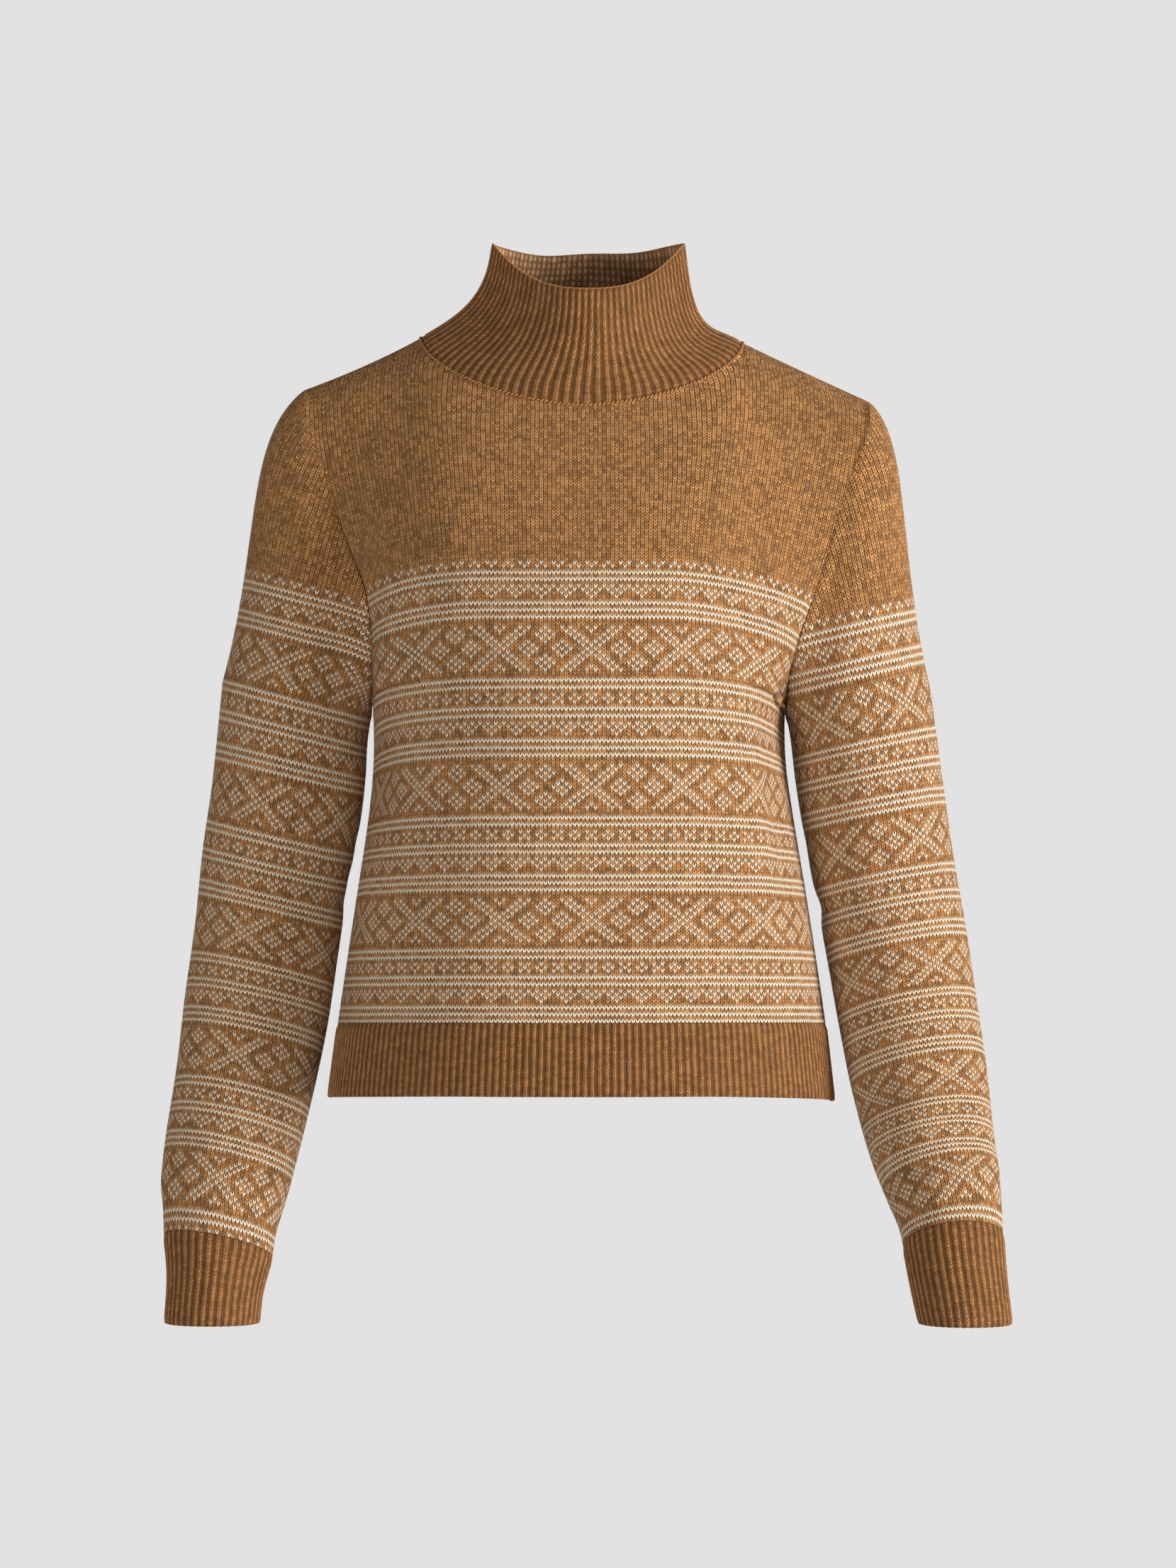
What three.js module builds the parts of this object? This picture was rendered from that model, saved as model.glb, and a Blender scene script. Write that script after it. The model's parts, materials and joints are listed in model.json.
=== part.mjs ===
// A fair isle jumper with a ribbed funnel collar, filled out as if it were worn with nobody in it.
// Millimetres, +Z up, and the front faces -Y. The origin is in the middle of the line between the
// two points where the shoulder seams meet the collar, and there the wearer's shoulders carry it.
// Each knitted piece is a wall of its own, parted from its neighbours by a hair's breadth at seams.

import * as THREE from 'three';

// The fabric
const WALL = 2;
const SEAM_GAP = 0.3;
const RIB_HEIGHT = 0.9;

// Ribs round each edge, a knit column and the groove beside it being one rib
const HEM_RIBS_EACH_SIDE = 98;
const CUFF_RIBS = 38;
const COLLAR_RIBS = 88;

// How finely each piece is divided
const NECK_COLUMNS = 12;
const SHOULDER_COLUMNS = 5;
const ARMHOLE_LEVELS = 14;
const TORSO_LEVELS = 6;
const HEM_LEVELS = 1;
const SLEEVE_CAP_LEVELS = 5;
const SLEEVE_LEVELS = 10;
const CUFF_LEVELS = 3;
const COLLAR_LEVELS = 5;
const COLLAR_INSIDE_COLUMNS = 44;

// Colours of the yarn, as the body of each piece shows it from a distance
const CAMEL = { color: 0x9a6f42, roughness: 0.95, metalness: 0 };
const CAMEL_AND_CREAM = { color: 0xb8946a, roughness: 0.95, metalness: 0 };

// Which way a piece faces, and which side of the body it is on
const FRONT = -1;
const BACK = 1;
const LEFT = -1;
const RIGHT = 1;

// The torso from the hem up to the chest, a row for each level: the height of its middle, where
// its middle is across, half its width, how deep it is in front and behind, and how far its left
// and right ends hang below its middle.
const TORSO = [
  { z: -495.5, centre: -0.3, half: 167.6, front: 122, back: 116, left: 5.5, right: 8 },
  { z: -448, centre: 0, half: 161.5, front: 121, back: 113, left: 4, right: 4 },
  { z: -400, centre: 0, half: 154.5, front: 120, back: 107, left: 5, right: 5 },
  { z: -350, centre: 0, half: 147, front: 119, back: 101, left: 6.5, right: 7 },
  { z: -300, centre: -0.5, half: 140, front: 121, back: 98, left: 9, right: 10 },
  { z: -262, centre: -1.5, half: 136, front: 125.5, back: 101, left: 13, right: 15 },
  { z: -225, centre: -2, half: 136, front: 128, back: 104, left: 16, right: 21 },
];
const RIB_TOP_Z = -448;
const CHEST_Z = TORSO.at(-1).z;
const CHEST_INSIDE_Z = -90;
const TORSO_SQUARENESS = { [FRONT]: 2.35, [BACK]: 2.3 };
const SAG_STARTS = 0.3;
const SAG_POWER = 1.6;

// The armholes, a row for each height from armpit to shoulder: how far out the seam is.
const ARMHOLE = [
  { height: 0, left: 138, right: 134 },
  { height: 0.18, left: 137.5, right: 139 },
  { height: 0.34, left: 141, right: 150 },
  { height: 0.46, left: 149.5, right: 158.5 },
  { height: 0.6, left: 161, right: 166.5 },
  { height: 0.75, left: 171, right: 177 },
  { height: 0.9, left: 181, right: 188.5 },
  { height: 1, left: 183.5, right: 190.5 },
];
const ARMPIT_Z = { [LEFT]: -241, [RIGHT]: -246 };
const SHOULDER_Z = { [LEFT]: -32.5, [RIGHT]: -40.5 };
const ARMHOLE_DEPTH = { [FRONT]: 52, [BACK]: 56 };
const ARMHOLE_CUT = 0.2;
const ARMHOLE_REACH = 0.3;

// The neckline, where the collar is linked on
const NECK_HALF = 107;
const NECK_DEPTH = { [FRONT]: 62, [BACK]: 58 };
const NECK_MIDDLE_Z = { [FRONT]: -46, [BACK]: 6 };
const NECK_CURVE = 1.7;
const NECK_SHARE = 0.52;
const NECK_WALL_DOWN = { middle: 0.35, side: 0.88 };
const NECK_TILT = 1.6;
const SHOULDER_SAG = { [LEFT]: 2.2, [RIGHT]: 0.4 };

// How the panels rise from the chest and come over into the neckline and the shoulders: the
// lengths of the handles that bend them, and their slopes as [towards the other panel, up] in the
// middle of the neckline, where it meets the shoulder, and at the armhole.
const CHEST_RISE = 70;
const SLOPE_STEP = 4;
const TOP_RISE = {
  power: 1.5,
  middle: { length: 60, slope: [0.5, 0.86] },
  corner: { length: 68, slope: [0.84, 0.54] },
  armhole: { length: 74, slope: [0.93, 0.33] },
};

// How often and how strongly a panel's grid is relaxed, which takes the creases out of it
const RELAX_TIMES = 3;
const RELAX_SHARE = 0.5;

// The collar's top edge, pinched to a point over each shoulder, and how the collar flares up from
// the neckline and stands under its top edge
const COLLAR_TOP = {
  centre: 4.5, half: 64.5, corner: 64, pinch: 1.7,
  depth: { [FRONT]: 50, [BACK]: 48 },
  middle: { [FRONT]: 31, [BACK]: 60 },
  curve: { [FRONT]: 2.6, [BACK]: 4 },
};
const COLLAR_FLARE = { length: 24, side: [0.86, 0.51], middle: [0.2, 0.98] };
const COLLAR_GAP = 0.4;
const COLLAR_SPAN = 76;
const COLLAR_STAND = { [LEFT]: 37, [RIGHT]: 64, lean: 0.08 };

// The sleeves below the armpits, a row for each section down to the cuff's rib: the section's
// outermost and innermost points as [out from the middle, height], how far back its centre is,
// half its depth, and how many degrees its front is lifted.
const SLEEVE = {
  [LEFT]: [
    { outer: [238.3, -226], inner: [139.8, -253], y: 5, deep: 51, lift: 0 },
    { outer: [245.2, -291], inner: [146.3, -314.5], y: 10, deep: 47, lift: 0 },
    { outer: [252, -338], inner: [155, -361.5], y: 12, deep: 45, lift: 0 },
    { outer: [256.7, -385], inner: [162, -408.5], y: 11, deep: 43, lift: 4 },
    { outer: [263, -432], inner: [168.5, -453], y: 6, deep: 41.5, lift: 9 },
    { outer: [268, -479], inner: [178, -500], y: -4, deep: 39.5, lift: 13 },
    { outer: [274.5, -525], inner: [189, -546], y: -18, deep: 37, lift: 16 },
    { outer: [276.5, -548], inner: [195, -569], y: -26, deep: 35, lift: 18 },
    { outer: [275.5, -571], inner: [201, -589.5], y: -34, deep: 32, lift: 18 },
    { outer: [274.5, -589], inner: [203, -604], y: -41, deep: 30, lift: 17 },
  ],
  [RIGHT]: [
    { outer: [231.5, -232], inner: [136.2, -255], y: 3, deep: 51, lift: 0 },
    { outer: [240.2, -295.5], inner: [145.3, -314.5], y: 7, deep: 47, lift: 3 },
    { outer: [247, -342.5], inner: [153.8, -361.5], y: 7, deep: 45, lift: 5 },
    { outer: [255, -389.5], inner: [162.5, -408.5], y: 3, deep: 43, lift: 9 },
    { outer: [261.5, -436.5], inner: [170.5, -455], y: -6, deep: 41.5, lift: 14 },
    { outer: [267.5, -482.5], inner: [179.5, -501.5], y: -21, deep: 39.5, lift: 20 },
    { outer: [271, -524], inner: [190, -540], y: -40, deep: 37, lift: 25 },
    { outer: [273.5, -546.5], inner: [199.5, -565], y: -52, deep: 35, lift: 27 },
    { outer: [274.5, -569], inner: [207, -583], y: -65, deep: 32, lift: 28 },
    { outer: [275, -587], inner: [209.5, -594], y: -75, deep: 30, lift: 27 },
  ],
};

// The cuffs, from the rib's top down to the open end
const CUFF = {
  [LEFT]: [
    SLEEVE[LEFT].at(-1),
    { outer: [271.5, -616.5], inner: [209, -626.5], y: -51, deep: 27.5, lift: 11 },
    { outer: [272.5, -646], inner: [211, -646], y: -61, deep: 27, lift: 0 },
  ],
  [RIGHT]: [
    SLEEVE[RIGHT].at(-1),
    { outer: [276, -613.5], inner: [214, -620.5], y: -92, deep: 27.5, lift: 17 },
    { outer: [278.5, -643], inner: [218.5, -643], y: -108, deep: 27, lift: 0 },
  ],
};

// How the sleeve leaves the armhole seam: out and down over the shoulder, straight down at the
// underarm, and proud of the seam in front and behind.
const CAP_START = { [LEFT]: 50, [RIGHT]: 36 };
const CAP_END = { [LEFT]: 97, [RIGHT]: 95 };
const CAP_SPAN = 188;
const CAP_PROUD = 0.32;
const CAP_DOWN = { shoulder: 0.5, armpit: 1 };
const CAP_OUT = { shoulder: 0.65, armpit: 0.3 };

// The largest soft folds, a row each: the panel, where the middle of the fold is across and up,
// how wide and tall it is, how far it leans across for each millimetre up, and how far it stands
// out. A fold that is pressed in has a negative height.
const FOLDS = [
  { face: FRONT, x: 129, z: -318, wide: 9, tall: 52, lean: -0.1, high: -5 },
  { face: FRONT, x: 116, z: -325, wide: 12, tall: 60, lean: -0.1, high: 2.5 },
  { face: FRONT, x: 141, z: -200, wide: 19, tall: 24, lean: -0.1, high: 6 },
  { face: FRONT, x: 128, z: -258, wide: 13, tall: 24, lean: -0.3, high: -3.5 },
  { face: FRONT, x: -124, z: -200, wide: 14, tall: 42, lean: 0.15, high: 3 },
  { face: FRONT, x: -118, z: -130, wide: 32, tall: 62, lean: -0.25, high: 7 },
  { face: FRONT, x: -132, z: -290, wide: 11, tall: 45, lean: 0.05, high: -3 },
  { face: BACK, x: -126, z: -215, wide: 13, tall: 50, lean: 0.2, high: 4 },
  { face: BACK, x: 124, z: -230, wide: 13, tall: 48, lean: -0.2, high: 4 },
  { face: BACK, x: -60, z: -330, wide: 16, tall: 70, lean: 0.12, high: -3 },
  { face: BACK, x: 74, z: -350, wide: 15, tall: 66, lean: -0.1, high: -3 },
];

// How sharply the folds fade out beside a panel's edges
const FOLD_FADE = 12;

const vector = (x, y, z) => new THREE.Vector3(x, y, z);
const mix = THREE.MathUtils.lerp;
const TINY = 1e-6;
const unit = (x, y, z) => vector(x, y, z).normalize();

// A smooth curve through the rows of a table, read at a row number that may lie between two.
function between(rows, at, value) {
  const last = rows.length - 1;
  const i = Math.min(Math.floor(at), last - 1);
  const f = at - i;
  const here = value(rows[i]);
  const next = value(rows[i + 1]);
  const before = i > 0 ? value(rows[i - 1]) : 2 * here - next;
  const after = i + 2 <= last ? value(rows[i + 2]) : 2 * next - here;
  const slopeHere = (next - before) / 2;
  const slopeNext = (after - here) / 2;
  const f2 = f * f;
  const f3 = f2 * f;
  return (2 * f3 - 3 * f2 + 1) * here + (f3 - 2 * f2 + f) * slopeHere
    + (3 * f2 - 2 * f3) * next + (f3 - f2) * slopeNext;
}

// The row number at which a table's key reaches a value, the key rising from row to row.
function rowNumber(rows, key, value) {
  let i = 0;
  while (i < rows.length - 2 && rows[i + 1][key] < value) i += 1;
  return i + (value - rows[i][key]) / (rows[i + 1][key] - rows[i][key]);
}

function bend(from, leave, arrive, to, t) {
  return new THREE.CubicBezierCurve3(from, leave, arrive, to).getPoint(t);
}

// Places across a panel, from its left edge at -1 to its right edge at 1. The middle columns
// end at the neckline and the others at a shoulder.
function panelPlaces() {
  const places = [];
  for (let i = 0; i < SHOULDER_COLUMNS; i += 1) {
    places.push(mix(-1, -NECK_SHARE, i / SHOULDER_COLUMNS));
  }
  for (let i = 0; i < NECK_COLUMNS; i += 1) {
    places.push(mix(-NECK_SHARE, NECK_SHARE, i / NECK_COLUMNS));
  }
  for (let i = 0; i <= SHOULDER_COLUMNS; i += 1) {
    places.push(mix(NECK_SHARE, 1, i / SHOULDER_COLUMNS));
  }
  return places;
}

// Half a rounded oval from side seam to side seam, at equal steps along it for each place.
function halfOval(half, depth, squareness, places) {
  const STEPS = 240;
  const walk = [];
  let length = 0;
  for (let i = 0; i <= STEPS; i += 1) {
    const angle = mix(-Math.PI / 2, Math.PI / 2, i / STEPS);
    const x = half * Math.sign(Math.sin(angle)) * Math.abs(Math.sin(angle)) ** (2 / squareness);
    const y = depth * Math.max(Math.cos(angle), 0) ** (2 / squareness);
    if (i > 0) length += Math.hypot(x - walk[i - 1].x, y - walk[i - 1].y);
    walk.push({ x, y, length });
  }
  return places.map((place) => {
    const target = ((place + 1) / 2) * length;
    const i = Math.min(Math.max(walk.findIndex((step) => step.length >= target), 1), STEPS);
    const f = (target - walk[i - 1].length) / (walk[i].length - walk[i - 1].length);
    return { x: mix(walk[i - 1].x, walk[i].x, f), y: mix(walk[i - 1].y, walk[i].y, f) };
  });
}

// A level of the torso below the armholes, on one face.
function torsoRing(face, z, places) {
  const at = rowNumber(TORSO, 'z', z);
  const read = (name) => between(TORSO, at, (row) => row[name]);
  const depth = read(face === FRONT ? 'front' : 'back');
  const oval = halfOval(read('half'), depth, TORSO_SQUARENESS[face], places);
  return places.map((place, i) => {
    const edge = Math.max((Math.abs(place) - SAG_STARTS) / (1 - SAG_STARTS), 0);
    const sag = read(place < 0 ? 'left' : 'right') * edge ** SAG_POWER;
    return vector(read('centre') + oval[i].x, face * (SEAM_GAP / 2 + oval[i].y), z - sag);
  });
}

// A point of the armhole seam: turn is 0 on the shoulder and 180 degrees in the armpit.
function armholePoint(side, face, turn) {
  const height = (1 + Math.cos(turn)) / 2;
  const at = rowNumber(ARMHOLE, 'height', height);
  const out = between(ARMHOLE, at, (row) => (side === LEFT ? row.left : row.right));
  const z = mix(ARMPIT_Z[side], SHOULDER_Z[side], height);
  return vector(side * out, face * (SEAM_GAP / 2 + ARMHOLE_DEPTH[face] * Math.sin(turn)), z);
}

// The armhole's own directions: out of it along the arm, and its middle.
function armholeAxis(side) {
  const top = armholePoint(side, FRONT, 0);
  const bottom = armholePoint(side, FRONT, Math.PI);
  const up = top.clone().sub(bottom).normalize();
  return {
    out: vector(side * up.z, 0, -side * up.x),
    middle: top.clone().add(bottom).multiplyScalar(0.5).setY(0),
  };
}

// Which way the wall's thickness goes at the armhole seam: towards the middle of the armhole.
function armholeInward(side, point) {
  const { out, middle } = armholeAxis(side);
  const inward = middle.clone().sub(point);
  return inward.addScaledVector(out, -inward.dot(out)).normalize();
}

// A point of the neckline: turn is 0 in the middle of the front or back and 90 degrees at a side.
function neckPoint(face, turn) {
  const x = NECK_HALF * Math.sin(turn);
  const y = face * (SEAM_GAP / 2 + NECK_DEPTH[face] * Math.max(Math.cos(turn), 0));
  const across = Math.min(Math.abs(x / NECK_HALF), 1);
  const rise = 1 - (1 - across ** NECK_CURVE) ** (1 / NECK_CURVE);
  return vector(x, y, NECK_MIDDLE_Z[face] * (1 - rise) - NECK_TILT * Math.sin(turn));
}

// Which way the wall's thickness goes at the neckline: mostly back under the collar in the
// middle, and mostly down at the sides.
function neckInward(face, turn) {
  const side = Math.abs(Math.sin(turn));
  const down = mix(NECK_WALL_DOWN.middle, NECK_WALL_DOWN.side, side ** 2);
  const level = Math.sqrt(1 - down ** 2);
  return vector(-level * Math.sin(turn), -face * level * Math.max(Math.cos(turn), 0), -down)
    .normalize();
}

// The top edge of a panel: a shoulder seam, the neckline, and the other shoulder seam.
function panelTop(face, place) {
  const share = Math.abs(place);
  if (share <= NECK_SHARE) return neckPoint(face, (place / NECK_SHARE) * (Math.PI / 2));
  const side = place < 0 ? LEFT : RIGHT;
  const f = (share - NECK_SHARE) / (1 - NECK_SHARE);
  const neck = neckPoint(face, side * (Math.PI / 2));
  const seam = neck.lerp(armholePoint(side, face, 0), f);
  return seam.add(vector(0, 0, -4 * SHOULDER_SAG[side] * f * (1 - f)));
}

// The slope with which a panel reaches its top edge.
function panelTopHandle(face, place) {
  const share = Math.abs(place);
  const onNeck = share < NECK_SHARE;
  const f = onNeck ? (share / NECK_SHARE) ** TOP_RISE.power : (share - NECK_SHARE) / (1 - NECK_SHARE);
  const from = onNeck ? TOP_RISE.middle : TOP_RISE.corner;
  const to = onNeck ? TOP_RISE.corner : TOP_RISE.armhole;
  const level = mix(from.slope[0], to.slope[0], f);
  const up = mix(from.slope[1], to.slope[1], f);
  return unit(0, -face * level, up).multiplyScalar(mix(from.length, to.length, f));
}

// A level of the torso between armpits and shoulders, on one face: share is 0 at the chest and 1
// at the shoulders. The armholes cut it short, so its places close up, and its ends follow the
// seam and pull the fabric near them along.
function yokeRing(face, share, places) {
  const turn = Math.PI * (1 - share);
  const edgeHeight = (1 + Math.cos(turn)) / 2;
  const kept = 1 - ARMHOLE_CUT * Math.sin(turn);
  const cutPlaces = places.map((place) => place * kept);
  const chest = torsoRing(face, CHEST_Z, cutPlaces);
  const below = torsoRing(face, CHEST_Z - SLOPE_STEP, cutPlaces);
  const risen = cutPlaces.map((place, i) => {
    const nearEdge = THREE.MathUtils.smoothstep(Math.abs(places[i]), ARMHOLE_REACH, 1);
    const height = mix(share, edgeHeight, nearEdge);
    const top = panelTop(face, place);
    const slope = chest[i].clone().sub(below[i]).normalize();
    const leave = chest[i].clone().addScaledVector(slope, CHEST_RISE);
    const arrive = top.clone().sub(panelTopHandle(face, place));
    return bend(chest[i], leave, arrive, top, height);
  });
  const pull = {
    [LEFT]: armholePoint(LEFT, face, turn).sub(risen[0]),
    [RIGHT]: armholePoint(RIGHT, face, turn).sub(risen.at(-1)),
  };
  return risen.map((point, i) => {
    const nearEdge = THREE.MathUtils.smoothstep(Math.abs(places[i]), ARMHOLE_REACH, 1);
    return point.addScaledVector(pull[places[i] < 0 ? LEFT : RIGHT], nearEdge);
  });
}

// Moves each point inside a grid along its normal, towards where its four neighbours would put
// it, and leaves the grid's edges as they are.
function relax(rows) {
  const normals = gridNormals(rows, (point) => vector(0, 0, point.z));
  const nearestOn = (a, b, point) => {
    const toA = a.distanceTo(point);
    return a.clone().lerp(b, toA / (toA + b.distanceTo(point)));
  };
  return rows.map((row, r) => row.map((point, c) => {
    const atEdge = r === 0 || r === rows.length - 1 || c === 0 || c === row.length - 1;
    if (atEdge) return point.clone();
    const target = nearestOn(rows[r - 1][c], rows[r + 1][c], point)
      .add(nearestOn(row[c - 1], row[c + 1], point)).multiplyScalar(0.5);
    const normal = normals[r][c];
    return point.clone().addScaledVector(normal, target.sub(point).dot(normal) * RELAX_SHARE);
  }));
}

// Unit normals of a grid of points, pointing away from the inside point that is given.
function gridNormals(rows, inside) {
  return rows.map((row, r) => row.map((point, c) => {
    const above = rows[Math.min(r + 1, rows.length - 1)][c];
    const below = rows[Math.max(r - 1, 0)][c];
    const next = row[Math.min(c + 1, row.length - 1)];
    const last = row[Math.max(c - 1, 0)];
    const normal = next.clone().sub(last).cross(above.clone().sub(below)).normalize();
    const outward = point.clone().sub(inside(point));
    return normal.dot(outward) < 0 ? normal.negate() : normal;
  }));
}

// Raises and presses the folds of a face into a panel's grid, fading out at its edges.
function foldPanel(face, rows, places) {
  const normals = gridNormals(rows, (point) => vector(0, 0, point.z));
  const folds = FOLDS.filter((fold) => fold.face === face);
  return rows.map((row, r) => row.map((point, c) => {
    const fade = 1 - Math.abs(places[c]) ** FOLD_FADE;
    const height = folds.reduce((sum, fold) => {
      const up = (point.z - fold.z) / fold.tall;
      const along = point.z - fold.z;
      const across = (point.x - fold.x - fold.lean * along) / fold.wide;
      return sum + fold.high * Math.exp(-(up ** 2) - across ** 2);
    }, 0);
    return point.clone().addScaledVector(normals[r][c], height * fade);
  }));
}

// The front or the back, from the rib's top to the shoulders: its outer points row by row, and
// for each the way to the wall's inner side.
function panelGrid(face) {
  const places = panelPlaces();
  const rows = [];
  for (let i = 0; i < TORSO_LEVELS; i += 1) {
    rows.push(torsoRing(face, mix(RIB_TOP_Z, CHEST_Z, i / TORSO_LEVELS), places));
  }
  for (let i = 0; i <= ARMHOLE_LEVELS; i += 1) {
    rows.push(yokeRing(face, i / ARMHOLE_LEVELS, places));
  }
  let relaxed = rows;
  for (let i = 0; i < RELAX_TIMES; i += 1) relaxed = relax(relaxed);
  const folded = foldPanel(face, relaxed, places);
  const normals = gridNormals(folded, (point) => vector(0, 0, Math.min(point.z, CHEST_INSIDE_Z)));
  const inward = folded.map((row, r) => row.map((point, c) => {
    const side = places[c] < 0 ? LEFT : RIGHT;
    const atEdge = c === 0 || c === places.length - 1;
    const inYoke = r >= TORSO_LEVELS;
    const atTop = r === folded.length - 1;
    if (atEdge && inYoke) return armholeInward(side, point);
    if (atEdge) return vector(-side, 0, 0);
    if (atTop && Math.abs(places[c]) > NECK_SHARE + TINY) return vector(0, 0, -1);
    if (atTop) return neckInward(face, (places[c] / NECK_SHARE) * (Math.PI / 2));
    return normals[r][c].clone().negate();
  }));
  return { rows: folded, inward };
}

function offset(rows, inward, distance) {
  return rows.map((row, r) => row.map((point, c) => (
    point.clone().addScaledVector(inward[r][c], distance))));
}

// Joins two lines of vertex numbers with triangles, where one line may have more points.
function zip(first, second, triangles) {
  let a = 0;
  let b = 0;
  while (a < first.length - 1 || b < second.length - 1) {
    const nextA = (a + 1) / (first.length - 1);
    const nextB = (b + 1) / (second.length - 1);
    if (b === second.length - 1 || (a < first.length - 1 && nextA <= nextB)) {
      triangles.push([first[a], second[b], first[a + 1]]);
      a += 1;
    } else {
      triangles.push([first[a], second[b], second[b + 1]]);
      b += 1;
    }
  }
}

// A closed wall between a grid of outer points and one of inner points, with the same number of
// rows. A round wall joins the end of each row to its start, and a strip has two ends instead.
function wallMesh(name, outer, inner, round, finish) {
  const positions = [];
  const triangles = [];
  const number = (rows) => rows.map((row) => row.map((point) => {
    positions.push(point.x, point.y, point.z);
    return positions.length / 3 - 1;
  }));
  const close = (row) => (round ? [...row, row[0]] : row);
  const outside = number(outer).map(close);
  const inside = number(inner).map(close);
  for (let r = 0; r < outside.length - 1; r += 1) {
    zip(outside[r], outside[r + 1], triangles);
    zip(inside[r + 1], inside[r], triangles);
  }
  zip(inside[0], outside[0], triangles);
  zip(outside.at(-1), inside.at(-1), triangles);
  if (!round) {
    zip(outside.map((row) => row[0]), inside.map((row) => row[0]), triangles);
    zip(inside.map((row) => row.at(-1)), outside.map((row) => row.at(-1)), triangles);
  }
  return meshOf(name, positions, triangles, finish);
}

// A mesh whose triangles all face out, whichever way round they were listed.
function meshOf(name, positions, triangles, finish) {
  const corner = (i) => vector(positions[3 * i], positions[3 * i + 1], positions[3 * i + 2]);
  const volume = triangles.reduce((sum, [a, b, c]) => (
    sum + corner(a).dot(corner(b).cross(corner(c)))), 0);
  const index = triangles.flatMap(([a, b, c]) => (volume > 0 ? [a, b, c] : [a, c, b]));
  const geometry = new THREE.BufferGeometry();
  geometry.setAttribute('position', new THREE.Float32BufferAttribute(positions, 3));
  geometry.setIndex(index);
  geometry.computeVertexNormals();
  const mesh = new THREE.Mesh(geometry, new THREE.MeshStandardMaterial(finish));
  mesh.name = name;
  return mesh;
}

// Points spread evenly along a row of corners, which is closed into a loop for a round piece.
function spread(row, count, round) {
  const corners = round ? [...row, row[0]] : row;
  const steps = round ? count : count - 1;
  const points = [];
  for (let i = 0; i < count; i += 1) {
    const at = (i / steps) * (corners.length - 1);
    const k = Math.min(Math.floor(at), corners.length - 2);
    points.push(corners[k].clone().lerp(corners[k + 1], at - k));
  }
  return points;
}

// Places at equal steps of length round a closed row, as numbers along its corners.
function evenPlaces(row, count) {
  const corners = [...row, row[0]];
  const lengths = [0];
  for (let k = 1; k < corners.length; k += 1) {
    lengths.push(lengths[k - 1] + corners[k].distanceTo(corners[k - 1]));
  }
  const places = [];
  let k = 0;
  for (let i = 0; i < count; i += 1) {
    const target = (i / count) * lengths.at(-1);
    while (lengths[k + 1] < target) k += 1;
    places.push(k + (target - lengths[k]) / (lengths[k + 1] - lengths[k]));
  }
  return places;
}

function spreadAt(row, places) {
  const corners = [...row, row[0]];
  return places.map((at) => {
    const k = Math.min(Math.floor(at), corners.length - 2);
    return corners[k].clone().lerp(corners[k + 1], at - k);
  });
}

// A ribbed wall: two outer points to each rib, every other one raised, over a plain inside. The
// ribs are spread evenly by length where even is set.
function ribbedWall(name, rows, inward, ribs, round, insideColumns, even) {
  const count = round ? ribs * 2 : ribs * 2 + 1;
  const isEnd = (i) => !round && (i === 0 || i === count - 1);
  const outer = rows.map((row, r) => {
    const places = even ? evenPlaces(row, count) : null;
    const points = even ? spreadAt(row, places) : spread(row, count, round);
    const ways = even ? spreadAt(inward[r], places) : spread(inward[r], count, round);
    return points.map((point, i) => {
      const raised = i % 2 === 1 && !isEnd(i);
      return point.addScaledVector(ways[i].normalize(), raised ? -RIB_HEIGHT : 0);
    });
  });
  const inner = offset(rows, inward, WALL).map((row) => {
    if (even) return spreadAt(row, evenPlaces(row, insideColumns));
    return insideColumns ? spread(row, insideColumns, round) : row;
  });
  return wallMesh(name, outer, inner, round, CAMEL);
}

function panel(name, face) {
  const { rows, inward } = panelGrid(face);
  return wallMesh(name, rows, offset(rows, inward, WALL), false, CAMEL_AND_CREAM);
}

// The hem's rib, which carries on from a panel's lowest row down to the open edge.
function hem(name, face) {
  const places = panelPlaces();
  const top = torsoRing(face, RIB_TOP_Z, places).map((point) => (
    point.add(vector(0, 0, -SEAM_GAP))));
  const bottom = torsoRing(face, TORSO[0].z, places);
  const rows = [];
  for (let i = 0; i <= HEM_LEVELS; i += 1) {
    rows.push(bottom.map((point, c) => point.clone().lerp(top[c], i / HEM_LEVELS)));
  }
  const inward = gridNormals(rows, (point) => vector(0, 0, point.z)).map((row, r) => (
    row.map((normal, c) => {
      const end = c === 0 || c === places.length - 1;
      return end ? vector(-Math.sign(rows[r][c].x), 0, 0) : normal.negate();
    })));
  return ribbedWall(name, rows, inward, HEM_RIBS_EACH_SIDE, false);
}

// A section of a sleeve or cuff: turn is 0 on its outer side and 90 degrees in front.
function armRing(table, side, at) {
  const read = (value) => between(table, at, value);
  const outer = vector(side * read((row) => row.outer[0]), 0, read((row) => row.outer[1]));
  const inner = vector(side * read((row) => row.inner[0]), 0, read((row) => row.inner[1]));
  const y = read((row) => row.y);
  const deep = read((row) => row.deep);
  const lift = THREE.MathUtils.degToRad(read((row) => row.lift));
  const centre = outer.clone().add(inner).multiplyScalar(0.5).setY(y);
  const wide = outer.clone().sub(inner).multiplyScalar(0.5);
  const up = vector(-side * wide.z, 0, side * wide.x).normalize();
  const forward = up.clone().multiplyScalar(Math.sin(lift)).add(vector(0, -Math.cos(lift), 0));
  const columns = 2 * ARMHOLE_LEVELS;
  const points = [];
  for (let i = 0; i < columns; i += 1) {
    const turn = (2 * Math.PI * i) / columns;
    points.push(centre.clone()
      .addScaledVector(wide, Math.cos(turn))
      .addScaledVector(forward, deep * Math.sin(turn)));
  }
  return { points, centre, up };
}

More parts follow.
